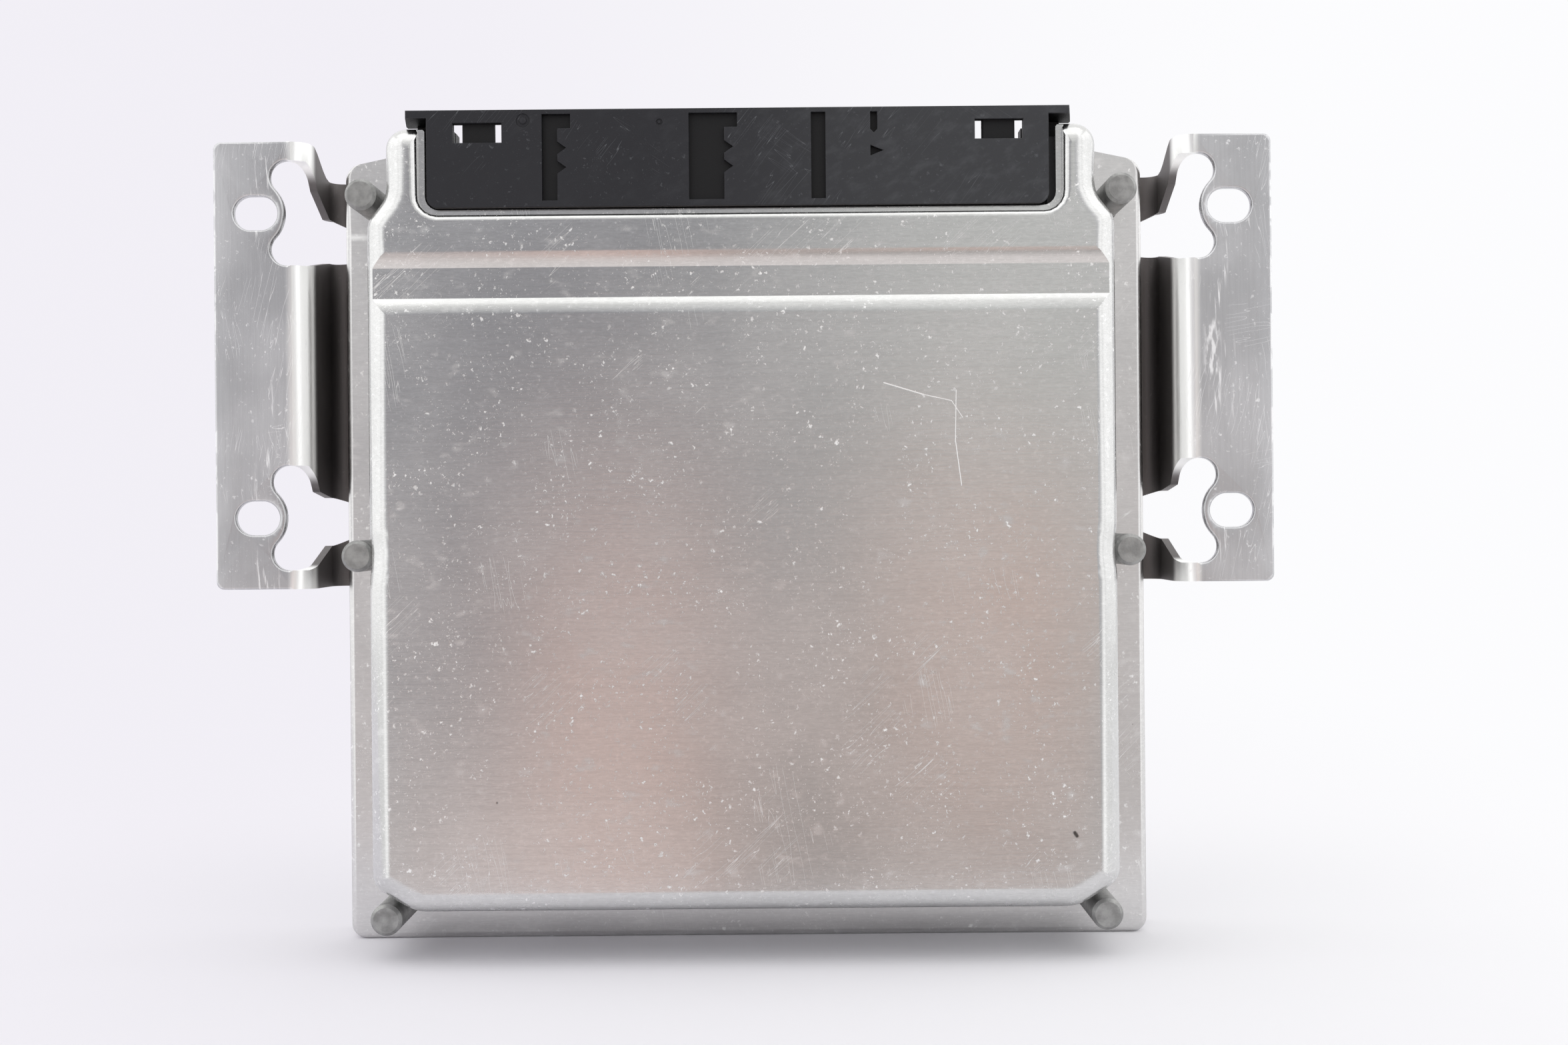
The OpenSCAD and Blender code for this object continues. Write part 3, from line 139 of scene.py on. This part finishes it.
class Look(Nodes):
    """A material for the unit, with patterns in mm."""

    def __init__(self, name, metal=0.0, rough=0.5, color=(0.5, 0.5, 0.5), **sockets):
        self.mat = bpy.data.materials.new(name)
        self.mat.use_nodes = True
        super().__init__(self.mat.node_tree)
        self.bsdf = self.add("ShaderNodeBsdfPrincipled", {"Metallic": metal, "Roughness": rough,
                                                          "Base Color": (*color, 1)})
        for key, value in sockets.items():
            self.bsdf.inputs[key.replace("_", " ")].default_value = value
        self.add("ShaderNodeOutputMaterial", {"Surface": self.bsdf.outputs["BSDF"]})
        coords = self.add("ShaderNodeTexCoord").outputs["Object"]
        self.place = self.vector("MULTIPLY", coords, (1 / MM,) * 3)

    def stretched(self, scale, turn=(0, 0, 0), place=None):
        """Object place in mm, turned and then scaled on each axis."""
        feeds = {"Vector": place or self.place, "Rotation": turn}
        return self.vector("MULTIPLY", self.add("ShaderNodeMapping", feeds).outputs["Vector"], scale)

    def noise(self, scale, detail=2.0, turn=(0, 0, 0), rough=0.5):
        feeds = {"Vector": self.stretched(scale, turn), "Scale": 1.0, "Detail": detail, "Roughness": rough}
        return self.add("ShaderNodeTexNoise", feeds).outputs["Fac"]

    def ragged(self, reach, size):
        """Object place in mm with an uneven shift, for outlines that aren't round."""
        feeds = {"Vector": self.stretched((1 / size,) * 3), "Scale": 1.0, "Detail": 1.0}
        uneven = self.add("ShaderNodeTexNoise", feeds).outputs["Color"]
        shift = self.vector("SUBTRACT", uneven, (0.5, 0.5, 0.5))
        feeds = {0: shift, 1: (reach,) * 3, 2: self.place}
        return self.add("ShaderNodeVectorMath", feeds, operation="MULTIPLY_ADD").outputs["Vector"]

    def dots(self, scale, size, share, turn=(0, 0, 0), place=None):
        """Specks in a share of the cells of a cell pattern."""
        feeds = {"Vector": self.stretched((scale,) * 3, turn, place), "Scale": 1.0}
        cells = self.add("ShaderNodeTexVoronoi", feeds)
        chosen = self.add("ShaderNodeSeparateColor", {"Color": cells.outputs["Color"]}).outputs[0]
        spot = self.ramp(cells.outputs["Distance"], size, size * 0.3)
        return self.times(spot, self.math("LESS_THAN", chosen, share))

    def hairlines(self, across, along, turn, width, share):
        """Fine straight scratches: a thin band of a stretched noise, kept in patches."""
        band = self.noise((along, across, across), 1.0, turn)
        line = self.ramp(self.size_of(self.math("SUBTRACT", band, 0.5)), width, 0.0)
        patch = self.ramp(self.noise((0.05, 0.05, 0.05), 2.0, turn), 1 - share, 1.02 - share)
        return self.times(line, patch)

    def near_line(self, a, b, width):
        """Thin mark between two places on the face, given in mm as (x, z)."""
        ax, az, bx, bz = *a, *b
        along = (bx - ax, 0, bz - az)
        off = self.vector("SUBTRACT", self.vector("MULTIPLY", self.place, (1, 0, 1)), (ax, 0, az))
        run = self.vector("DOT_PRODUCT", off, along, "Value")
        part = self.add("ShaderNodeMath", {0: run, 1: 1 / (along[0] ** 2 + along[2] ** 2)},
                        operation="MULTIPLY", use_clamp=True).outputs["Value"]
        foot = self.add("ShaderNodeVectorMath", {0: along, "Scale": part}, operation="SCALE")
        away = self.vector("DISTANCE", off, foot.outputs["Vector"], "Value")
        return self.ramp(away, width, width * 0.3)

    def speckle(self, share):
        """White handling specks of four sizes with ragged outlines, gathered in loose clouds."""
        place = self.ragged(1.3, 0.6)
        specks = self.either(
            self.times(self.dots(2.0, 0.25, share, place=place), 0.45),
            self.times(self.dots(1.0, 0.24, share, (0.2, 0.4, 0.1), place), 0.7),
            self.times(self.dots(0.55, 0.2, share, (0.5, 0.1, 0.3), place), 0.9),
            self.dots(0.28, 0.13, share, (0.3, 0.2, 0.5), place),
        )
        return self.times(specks, self.ramp(self.noise((0.1, 0.1, 0.1), 3.0), 0.4, 0.58, 0.3, 1.0))

    def tint(self, base, amount, mask, color):
        return self.mix(self.times(mask, amount), base, color)

    def color(self, socket):
        self.tree.links.new(socket, self.bsdf.inputs["Base Color"])

    def rough(self, socket):
        self.tree.links.new(socket, self.bsdf.inputs["Roughness"])

    def bump(self, height, depth):
        made = self.add("ShaderNodeBump", {"Height": height, "Strength": 1.0, "Distance": depth * MM})
        self.tree.links.new(made.outputs["Normal"], self.bsdf.inputs["Normal"])


def shade(color, share):
    return tuple(c * share for c in color)


def shell_finish():
    """Drawn sheet: short rolled grain across the face, cloudy handling, specks and a few scratches, and a
    painted paler, warmer reflection towards the flange.
    """
    color = (0.695, 0.695, 0.69)
    look = Look("shell_satin", metal=1.0, rough=0.2, color=color)
    # Painted reflection: towards the flange the sheet is made paler and warmer than the face, and also
    # rougher.
    flange = look.ramp(look.axes(look.place)["Y"], 1.5, 5.0)
    grain = look.noise((0.7, 5.0, 5.0), 2.0)
    long_grain = look.noise((0.025, 1.6, 1.6), 3.0)
    cloud = look.noise((0.03, 0.03, 0.03), 5.0)
    smudge = look.ramp(look.noise((0.25, 0.25, 0.4), 4.0), 0.58, 0.75)
    mottle = look.ramp(look.noise((1.0, 1.4, 1.4), 3.0), 0.52, 0.74)
    lines = look.either(look.hairlines(0.9, 0.035, (0, 0.75, 0), 0.006, 0.40),
                        look.hairlines(0.8, 0.04, (0, 1.75, 0), 0.005, 0.38))
    scratch = look.either(*[look.near_line(*line) for line in SCRATCHES])
    marks = look.either(look.speckle(0.7), look.times(lines, 0.6), scratch)
    pits = look.either(look.times(look.dots(0.06, 0.02, 0.4, (0.7, 0.1, 0.9)), 0.7), look.near_line(*DENT))
    base = look.mix(look.ramp(cloud, 0.35, 0.65), shade(color, 0.95), shade(color, 1.03))
    base = look.tint(base, 0.2, look.ramp(grain, 0.35, 0.7), shade(color, 0.6))
    base = look.tint(base, 0.1, look.ramp(long_grain, 0.4, 0.7), shade(color, 0.6))
    base = look.tint(base, 0.2, look.either(smudge, mottle), (0.95, 0.95, 0.95))
    # Painted reflection towards the flange.
    base = look.tint(base, 0.2, flange, (0.9, 0.87, 0.86))
    base = look.tint(base, 0.85, marks, (0.99, 0.99, 0.985))
    look.color(look.mix(pits, base, (0.12, 0.115, 0.11)))
    satin = look.plus(look.ramp(cloud, 0.3, 0.7, 0.17, 0.22), look.times(smudge, 0.09))
    satin = look.plus(satin, look.times(flange, 0.1))
    look.rough(look.plus(satin, look.times(marks, 0.35)))
    height = look.plus(look.times(grain, 0.5), look.times(long_grain, 0.5))
    look.bump(look.math("SUBTRACT", height, look.times(look.either(marks, pits), 0.6)), 0.01)
    return look.mat


def plate_finish():
    """Folded sheet: upright grain and scuffs on the tabs, worn edges, a painted highlight on the bends, and
    painted shade on the walls behind them.
    """
    color = (0.6, 0.6, 0.615)
    look = Look("plate_satin", metal=1.0, rough=0.3, color=color)
    x, y = look.axes(look.place)[:2]
    side = look.size_of(x)
    grain = look.noise((3.0, 3.0, 0.12), 3.0)
    cloud = look.noise((0.05, 0.05, 0.04), 4.0)
    specks = look.times(look.speckle(0.5), 0.8)
    scuff = look.ramp(look.noise((1.6, 1.6, 0.13), 4.0, (0, 0.06, 0)), 0.56, 0.68)
    patch = look.ramp(look.noise((0.16, 0.16, 0.05), 3.0), 0.44, 0.6)
    scuffs = look.times(look.times(scuff, patch), look.between(side, *SCUFF_LANE))
    lines = look.either(look.hairlines(0.9, 0.05, (0, 1.35, 0), 0.008, 0.47),
                        look.hairlines(0.8, 0.06, (0, 1.75, 0), 0.007, 0.45),
                        look.hairlines(0.7, 0.07, (0, 0.15, 0), 0.006, 0.40))
    edge = look.ramp(side, TAB_EDGE - 0.7, TAB_EDGE)
    chips = look.times(edge, look.ramp(look.noise((0.4, 0.4, 0.25), 3.0), 0.5, 0.58))
    rub = look.times(look.near_line(*RUBBED), look.ramp(look.noise((1.2, 1.2, 0.35), 4.0), 0.42, 0.62))
    marks = look.either(specks, scuffs, look.times(lines, 0.7), chips, rub)
    # Painted shade: the bracket walls that face the case are made nearly black, and rougher.
    painted_wall_shade = look.times(look.between(side, *WALL_SHADE_ZONE), look.between(y, *WALL_SHADE_DEPTH))
    # Painted highlight: the bends of the brackets, near the front, are made almost white.
    painted_bend_highlight = look.times(look.between(side, *BEND_HIGHLIGHT_ZONE), look.ramp(y, 3.4, 1.6))
    base = look.mix(look.ramp(cloud, 0.35, 0.65), shade(color, 0.9), shade(color, 1.05))
    base = look.tint(base, 0.16, look.ramp(grain, 0.35, 0.7), shade(color, 0.6))
    # Painted highlight on the bends.
    base = look.mix(painted_bend_highlight, base, (0.99, 0.99, 0.98))
    base = look.tint(base, 0.8, marks, (0.97, 0.97, 0.98))
    # Painted shade on the bracket walls.
    look.color(look.tint(base, 0.86, painted_wall_shade, (0.12, 0.105, 0.1)))
    satin = look.plus(look.ramp(cloud, 0.3, 0.7, 0.27, 0.33), look.times(grain, 0.06))
    look.rough(look.plus(satin, look.times(look.either(marks, painted_wall_shade), 0.2)))
    look.bump(look.math("SUBTRACT", look.times(grain, 0.6), look.times(marks, 0.7)), 0.012)
    return look.mat


def dull_steel(name, color, rough):
    look = Look(name, metal=1.0, rough=rough, color=color)
    grit = look.noise((3.0, 3.0, 3.0), 4.0)
    cloud = look.noise((0.5, 0.5, 0.5), 2.0)
    look.color(look.mix(look.ramp(cloud, 0.3, 0.7), shade(color, 0.8), shade(color, 1.15)))
    look.rough(look.ramp(grit, 0.3, 0.7, rough - 0.08, rough + 0.1))
    look.bump(grit, 0.03)
    return look.mat


def header_finish():
    """Moulded plastic: keyways and all else behind the front face darkened with painted shade, flecks and
    hairlines, and a paler handled right end.
    """
    look = Look("header_black", rough=0.5, color=(0.018, 0.018, 0.021), Specular_IOR_Level=0.32)
    x, y = look.axes(look.place)[:2]
    grit = look.noise((4.0, 4.0, 4.0), 3.0)
    smear = look.noise((0.22, 0.22, 0.4), 6.0, (0, 0.5, 0), 0.65)
    handled = look.times(look.ramp(smear, 0.46, 0.72), look.ramp(x, -45.0, 50.0, 0.12, 1.3))
    lines = look.either(look.hairlines(0.8, 0.05, (0, 0.9, 0), 0.006, 0.45),
                        look.hairlines(0.9, 0.06, (0, -0.6, 0), 0.006, 0.42))
    pale = look.either(look.times(handled, 0.3), look.times(look.speckle(0.45), 0.8), look.times(lines, 1.5))
    base = look.mix(look.ramp(x, -20.0, 40.0), (0.018, 0.018, 0.022), (0.04, 0.041, 0.045))
    base = look.tint(base, 0.55, pale, (0.13, 0.135, 0.145))
    # Painted shade: everything on the header that lies behind its front face, the sunk keyways included, is
    # painted almost black.
    sunk = look.ramp(y, FRONT_Y + 0.15, FRONT_Y + 0.9)
    look.color(look.mix(sunk, base, (0.003, 0.003, 0.004)))
    look.rough(look.plus(look.ramp(grit, 0.3, 0.7, 0.42, 0.56), look.times(pale, 0.12)))
    look.bump(grit, 0.015)
    return look.mat


def mottled(name, color, rough, scale, swing=0.15, metal=0.0, depth=0.02):
    """Plain finish with a fine uneven colour, sheen and surface."""
    look = Look(name, metal=metal, rough=rough, color=color)
    grit = look.noise((scale, scale, scale), 4.0)
    look.color(look.mix(grit, shade(color, 1 - swing), shade(color, 1 + swing)))
    look.rough(look.ramp(grit, 0.25, 0.75, rough - 0.06, rough + 0.08))
    look.bump(grit, depth)
    return look.mat


shell = shell_finish()
plate = plate_finish()
posts = dull_steel("post_grey", (0.34, 0.34, 0.335), 0.5)
zinc = dull_steel("screw_zinc", (0.56, 0.55, 0.52), 0.36)
black = header_finish()
carrier = mottled("carrier_black", (0.03, 0.03, 0.032), 0.55, 2.0)
gold = mottled("contact_gold", (0.80, 0.62, 0.28), 0.25, 3.0, swing=0.06, metal=1.0, depth=0.005)
tin = mottled("contact_tin", (0.74, 0.73, 0.70), 0.32, 3.0, swing=0.06, metal=1.0, depth=0.005)
rubber = mottled("seal_black", (0.032, 0.032, 0.034), 0.75, 2.5)
laminate = mottled("board_green", (0.05, 0.20, 0.085), 0.4, 0.8, swing=0.12)
epoxy = mottled("chip_black", (0.03, 0.03, 0.032), 0.6, 5.0)
silicone = mottled("pad_blue", (0.48, 0.58, 0.66), 0.7, 2.0)
sleeve = mottled("sleeve_blue", (0.07, 0.10, 0.20), 0.3, 0.6)
ceramic = mottled("ceramic_tan", (0.56, 0.44, 0.31), 0.45, 3.0)
ferrite = mottled("ferrite_grey", (0.07, 0.07, 0.075), 0.7, 4.0)
copper = mottled("winding_copper", (0.62, 0.30, 0.13), 0.3, 1.5, swing=0.1, metal=1.0, depth=0.005)

FINISH = {
    "front_shell": shell, "rear_plate": plate, "threaded_posts": posts, "cover_screws": zinc,
    "connector_header": black, "contact_carriers": carrier, "signal_contacts": gold, "power_contacts": tin,
    "header_seal": rubber, "perimeter_seal": rubber, "circuit_board": laminate, "board_spacers": zinc,
    "board_screws": zinc, "processor": epoxy, "memory_chips": epoxy, "driver_chips": epoxy,
    "voltage_regulator": epoxy, "crystal": zinc, "power_transistors": epoxy, "thermal_pads": silicone,
    "transistor_rail": plate, "rail_screws": zinc, "spring_clips": zinc, "filter_capacitors": sleeve,
    "ceramic_capacitors": ceramic, "resistors": epoxy, "choke_core": ferrite, "choke_winding": copper,
}
for name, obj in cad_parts.items():
    for slot in obj.material_slots:
        slot.material = FINISH[name]


def new_object(name, work):
    """Object in the scene with the mesh of a bmesh, which is then freed."""
    mesh = bpy.data.meshes.new(name)
    work.to_mesh(mesh)
    work.free()
    made = bpy.data.objects.new(name, mesh)
    bpy.context.scene.collection.objects.link(made)
    return made


def bake(source, name, mat):
    """Plain mesh object from an object with modifiers, which is then removed."""
    graph = bpy.context.evaluated_depsgraph_get()
    mesh = bpy.data.meshes.new_from_object(source.evaluated_get(graph), preserve_all_data_layers=True,
                                           depsgraph=graph)
    bpy.data.objects.remove(source)
    piece = bpy.data.objects.new(name, mesh)
    mesh.name = name
    mesh.materials.clear()
    mesh.materials.append(mat)
    bpy.context.scene.collection.objects.link(piece)
    return piece


# Reach of welding in metres, angle within which faces are one flat, angle over which an edge is eased,
# and how near to the front an eased edge lies, in mm
WELD = 2e-6
FLAT_ANGLE = math.radians(0.5)
EASED_ANGLE = math.radians(40)
NEAR_FRONT = 0.02


def finished(name, node, sharp, bevel=0.0, front=0.0):
    """Copy of a drawn piece that stands for the node, with its facets shaded as one surface.

    Edges over sharp degrees stay hard. The hard edges at depth front are eased by bevel; both are in mm.
    """
    work = bmesh.new()
    work.from_mesh(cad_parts[node].data)
    bmesh.ops.remove_doubles(work, verts=work.verts, dist=WELD)
    if bevel:
        bmesh.ops.dissolve_limit(work, angle_limit=FLAT_ANGLE, verts=work.verts, edges=work.edges)
        edges = [e for e in work.edges if e.calc_face_angle() > EASED_ANGLE
                 and all(abs(v.co.y / MM - front) < NEAR_FRONT for v in e.verts)]
        bmesh.ops.bevel(work, geom=edges, offset=bevel * MM, offset_type="OFFSET", segments=2, profile=0.5,
                        affect="EDGES", clamp_overlap=False)
        bmesh.ops.triangulate(work, faces=work.faces)
    for face in work.faces:
        face.smooth = True
    for edge in work.edges:
        edge.smooth = edge.calc_face_angle() < math.radians(sharp)
    source = new_object(name, work)
    even = source.modifiers.new("even", "WEIGHTED_NORMAL")
    even.keep_sharp = True
    even.weight = 100
    piece = bake(source, name, FINISH[node])
    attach(piece, "root")
    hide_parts(node)


finished("drawn_shell", "front_shell", sharp=26)
finished("folded_plate", "rear_plate", sharp=50, bevel=0.45, front=TAB_FRONT_Y)
finished("moulded_header", "connector_header", sharp=50, bevel=0.15, front=FRONT_Y)


def copies_tree(name):
    """Node tree that puts one shape at every point, with the sockets for the shape and its finish."""
    tree = bpy.data.node_groups.new(name, "GeometryNodeTree")
    tree.interface.new_socket("Geometry", in_out="INPUT", socket_type="NodeSocketGeometry")
    kind = tree.interface.new_socket("Shape", in_out="INPUT", socket_type="NodeSocketObject")
    coat = tree.interface.new_socket("Finish", in_out="INPUT", socket_type="NodeSocketMaterial")
    tree.interface.new_socket("Geometry", in_out="OUTPUT", socket_type="NodeSocketGeometry")
    enter = tree.nodes.new("NodeGroupInput")
    info = tree.nodes.new("GeometryNodeObjectInfo")
    spread = tree.nodes.new("GeometryNodeInstanceOnPoints")
    solid = tree.nodes.new("GeometryNodeRealizeInstances")
    paint = tree.nodes.new("GeometryNodeSetMaterial")
    leave = tree.nodes.new("NodeGroupOutput")
    for a, b in (
        (enter.outputs["Geometry"], spread.inputs["Points"]),
        (enter.outputs["Shape"], info.inputs["Object"]),
        (info.outputs["Geometry"], spread.inputs["Instance"]),
        (spread.outputs["Instances"], solid.inputs["Geometry"]),
        (solid.outputs["Geometry"], paint.inputs["Geometry"]),
        (enter.outputs["Finish"], paint.inputs["Material"]),
        (paint.outputs["Geometry"], leave.inputs["Geometry"]),
    ):
        tree.links.new(a, b)
    return tree, kind.identifier, coat.identifier


def repeated(name, places, shape, mat):
    """One piece with a small shape at each place, put there by a node modifier that is then baked."""
    tree, kind, coat = copies_tree(name)
    spots = bmesh.new()
    for place in places:
        spots.verts.new(place)
    source = new_object(name, spots)
    copies = source.modifiers.new("copies", "NODES")
    copies.node_group = tree
    copies[kind] = shape
    copies[coat] = mat
    piece = bake(source, name, mat)
    bpy.data.objects.remove(shape)
    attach(piece, "root")


def upright(low, high, height):
    """Bmesh of a post that stands on zero, between two outlines of as many (x, y) points, in mm."""
    work = bmesh.new()
    rings = [[work.verts.new((x * MM, y * MM, z * MM)) for x, y in outline]
             for outline, z in ((low, 0), (high, height))]
    work.faces.new(rings[0][::-1])
    work.faces.new(rings[1])
    count = len(low)
    for i in range(count):
        j = (i + 1) % count
        work.faces.new((rings[0][i], rings[0][j], rings[1][j], rings[1][i]))
    return work


def oblong(width, depth):
    return [(sx * width / 2, sy * depth / 2) for sx, sy in ((-1, -1), (1, -1), (1, 1), (-1, 1))]


def tapered_tip(name, width, height, top):
    """Small square tip that narrows upwards to a share of its width."""
    return new_object(name, upright(oblong(width, width), oblong(width * top, width * top), height))


def bay_rib(name, radius, length, sides=12):
    """Upright round rib; half of it is sunk in the bay's wall."""
    turns = [2 * math.pi * i / sides for i in range(sides)]
    ring = [(radius * math.cos(a), radius * math.sin(a)) for a in turns]
    return new_object(name, upright(ring, ring, length))


def wing_rib(name, width, depth, height, foot, ease):
    """Upright rib that widens upwards from a share of its width, with eased edges."""
    work = upright(oblong(width * foot, depth), oblong(width, depth), height)
    bmesh.ops.bevel(work, geom=work.edges[:], offset=ease * MM, segments=2, profile=0.5, affect="EDGES")
    return new_object(name, work)


# Bays of the header, in mm: columns, rows, pitch and room beside the outer contacts
BAYS = ((3, 3, 5.0, 2.8), (10, 4, 2.54, 1.6), (13, 4, 2.54, 1.6), (6, 4, 2.54, 1.6), (3, 3, 5.0, 2.8))
SIGNAL_ROWS = 4
BAY_WALL = 1.96
BAY_LEFT = -59.75
BAY_FRONT, BAY_DEPTH = 23.04, 18.0
CARRIER_TOP, CONTACT_TOP = 150.0, 158.5
# Feet of the ribs under the two wings of the header's rim, behind the ends of the shell's arms
WING_RIBS = (plan(60.3, 157.6, 16.8), plan(-61.2, 157.6, 16.8))


def bay_places():
    """Tops of the signal contacts, and feet of the ribs on the bays' long walls."""
    signal, ribs = [], []
    left = BAY_LEFT + BAY_WALL
    for columns, rows, pitch, room in BAYS:
        for c in range(columns):
            x = left + room + c * pitch
            if rows == SIGNAL_ROWS:
                for r in range(rows):
                    z = BAY_FRONT - BAY_DEPTH / 2 + (r - (rows - 1) / 2) * pitch
                    signal.append(plan(x, CONTACT_TOP, z))
            if c % 2 == 0 and c + 1 < columns:
                for z in (BAY_FRONT, BAY_FRONT - BAY_DEPTH):
                    ribs.append(plan(x + pitch / 2, CARRIER_TOP, z))
        left += (columns - 1) * pitch + 2 * room + BAY_WALL
    return signal, ribs


signal_tops, rib_feet = bay_places()
tip = tapered_tip("signal_tip", width=0.64, height=0.6, top=0.4)
repeated("signal_tips", signal_tops, tip, gold)
rib = bay_rib("bay_rib", radius=0.4, length=11.5)
repeated("bay_ribs", rib_feet, rib, black)
rib = wing_rib("wing_rib", width=3.4, depth=1.4, height=4.6, foot=0.92, ease=0.2)
repeated("wing_ribs", WING_RIBS, rib, black)

# Camera, square-on to the face
camera_data = bpy.data.cameras.new("camera")
camera_data.sensor_width = 36.0
camera_data.lens = 40.4
camera_data.clip_start = 0.01
camera = bpy.data.objects.new("camera", camera_data)
camera.location = (0.0078, -0.3535, -0.0323)
camera.rotation_euler = (math.radians(90), math.radians(0.5), 0)
bpy.context.scene.collection.objects.link(camera)
bpy.context.scene.camera = camera

# Studio: a round pale floor that fades into the background, and soft panels on both sides and above
PAPER_LEFT = (0.885, 0.865, 0.92)
PAPER_RIGHT = (0.975, 0.975, 0.99)
FLOOR_R = 0.62
PANEL_GLOW = 0.4
# Share of the room's light that is held back from matt surfaces
MATT_LOSS = 0.24


def floor_material():
    """Paper that fades into the background for the camera, and ends in front of the unit for metal."""
    mat = bpy.data.materials.new("floor_white")
    mat.use_nodes = True
    nodes = Nodes(mat.node_tree)
    path = nodes.add("ShaderNodeLightPath").outputs
    place = nodes.add("ShaderNodeTexCoord").outputs["Object"]
    x, y = nodes.axes(place)[:2]
    tone = nodes.mix(nodes.ramp(x, -0.2, 0.3), PAPER_LEFT, PAPER_RIGHT)
    far = nodes.vector("DISTANCE", nodes.vector("MULTIPLY", place, (1, 1, 0)), (0, 0, 0), "Value")
    faded = nodes.times(nodes.ramp(far, 0.1, FLOOR_R * 0.7, 0.05, 1.0), path["Is Camera Ray"])
    paper = nodes.add("ShaderNodeBsdfDiffuse", {"Color": tone}).outputs[0]
    glow = nodes.add("ShaderNodeEmission", {"Color": tone}).outputs[0]
    mixed = nodes.add("ShaderNodeMixShader", {0: faded, 1: paper, 2: glow}).outputs[0]
    ended = nodes.times(nodes.ramp(y, -0.05, -0.1), path["Is Glossy Ray"])
    clear = nodes.add("ShaderNodeBsdfTransparent").outputs[0]
    mixed = nodes.add("ShaderNodeMixShader", {0: ended, 1: mixed, 2: clear}).outputs[0]
    nodes.add("ShaderNodeOutputMaterial", {"Surface": mixed})
    return mat


def stage_floor():
    work = bmesh.new()
    bmesh.ops.create_circle(work, cap_ends=True, segments=96, radius=FLOOR_R)
    bmesh.ops.translate(work, verts=work.verts, vec=(0, 0, FLOOR_Z))
    floor = new_object("floor", work)
    floor.data.materials.append(floor_material())


def panel(name, place, towards, size, radiance):
    """Soft rectangular lamp at a place, of a given brightness, facing a direction."""
    data = bpy.data.lights.new(name, "AREA")
    data.shape = "RECTANGLE"
    data.size, data.size_y = size
    data.energy = radiance * math.pi * size[0] * size[1]
    lamp = bpy.data.objects.new(name, data)
    lamp.location = place
    lamp.rotation_euler = Vector(towards).to_track_quat("-Z", "Y").to_euler()
    bpy.context.scene.collection.objects.link(lamp)


def grey(level):
    return (level, level, level)


def camera_side(nodes, across, up):
    """Dim room that the face mirrors: darker on the left, paler below, with two warm streaks.

    Across and up are the slopes of a direction away from straight out of the face.
    """
    dim = nodes.mix(nodes.ramp(across, -0.1, 0.16), (0.37, 0.37, 0.395), (0.76, 0.77, 0.75))
    dim = nodes.mix(nodes.ramp(across, -0.2, -0.34), dim, (0.58, 0.58, 0.6))
    dim = nodes.mix(nodes.ramp(across, 0.2, 0.25), dim, (0.64, 0.64, 0.66))
    dim = nodes.mix(nodes.times(nodes.band(across, 0.225, 0.255, 0.015), 0.6), dim, (0.4, 0.4, 0.42))
    low = nodes.mix(nodes.ramp(across, -0.2, -0.02), (0.8, 0.73, 0.72), (0.43, 0.41, 0.40))
    low = nodes.mix(nodes.ramp(across, 0.02, 0.2), low, (0.52, 0.49, 0.485))
    dim = nodes.mix(nodes.ramp(up, -0.07, -0.17, 0.0, 0.85), dim, low)
    warm_left = nodes.times(nodes.band(across, -0.14, -0.05, 0.02), nodes.ramp(up, 0.1, -0.06))
    warm_right = nodes.times(nodes.band(across, 0.06, 0.17, 0.03), nodes.band(up, -0.2, 0.03, 0.05))
    dim = nodes.mix(warm_left, dim, (1.0, 0.71, 0.63))
    return nodes.mix(warm_right, dim, (0.84, 0.60, 0.52))


def studio_world():
    """White paper for the camera; metal sees a pale room that is dimmer on the camera's side."""
    world = bpy.data.worlds.new("studio")
    bpy.context.scene.world = world
    world.use_nodes = True
    nodes = Nodes(world.node_tree)
    path = nodes.add("ShaderNodeLightPath").outputs
    x, y, z = nodes.axes(nodes.add("ShaderNodeTexCoord").outputs["Generated"])
    paper = nodes.mix(nodes.ramp(x, -0.25, 0.3), PAPER_LEFT, PAPER_RIGHT)
    facing = nodes.times(y, -1.0)
    front = nodes.math("MAXIMUM", facing, 0.05)
    across = nodes.math("DIVIDE", x, front)
    up = nodes.math("DIVIDE", z, front)
    aside = nodes.size_of(across)
    room = nodes.mix(nodes.ramp(facing, 0.97, 0.55), camera_side(nodes, across, up), (0.8, 0.8, 0.79))
    room = nodes.mix(nodes.ramp(aside, 0.36, 0.62), room, grey(0.98))
    room = nodes.mix(nodes.band(aside, 0.5, 0.95, 0.14), room, grey(1.35))
    room = nodes.mix(nodes.ramp(facing, 0.6, -0.1), room, grey(0.9))
    room = nodes.mix(nodes.ramp(y, 0.5, 0.95), room, paper)
    room = nodes.mix(nodes.ramp(z, 0.2, 0.65, 0.0, 0.3), room, (1.65, 1.65, 1.62))
    room = nodes.mix(nodes.ramp(z, -0.25, -0.55, 0.0, 0.7), room, (1.0, 0.93, 0.92))
    shown = nodes.mix(path["Is Camera Ray"], room, paper)
    power = nodes.math("SUBTRACT", 1.0, nodes.times(path["Is Diffuse Ray"], MATT_LOSS))
    sky = nodes.add("ShaderNodeBackground", {"Color": shown, "Strength": power}).outputs[0]
    nodes.add("ShaderNodeOutputWorld", {"Surface": sky})


studio_world()
stage_floor()
panel("left_panel", (-0.75, -0.1, 0.35), (1, 0, 0), (1.1, 0.9), PANEL_GLOW)
panel("right_panel", (0.75, -0.1, 0.35), (-1, 0, 0), (1.1, 0.9), PANEL_GLOW)
panel("top_panel", (0.0, -0.3, 0.9), (0, 0, -1), (1.4, 0.9), PANEL_GLOW)

bpy.context.scene.view_settings.view_transform = "Standard"
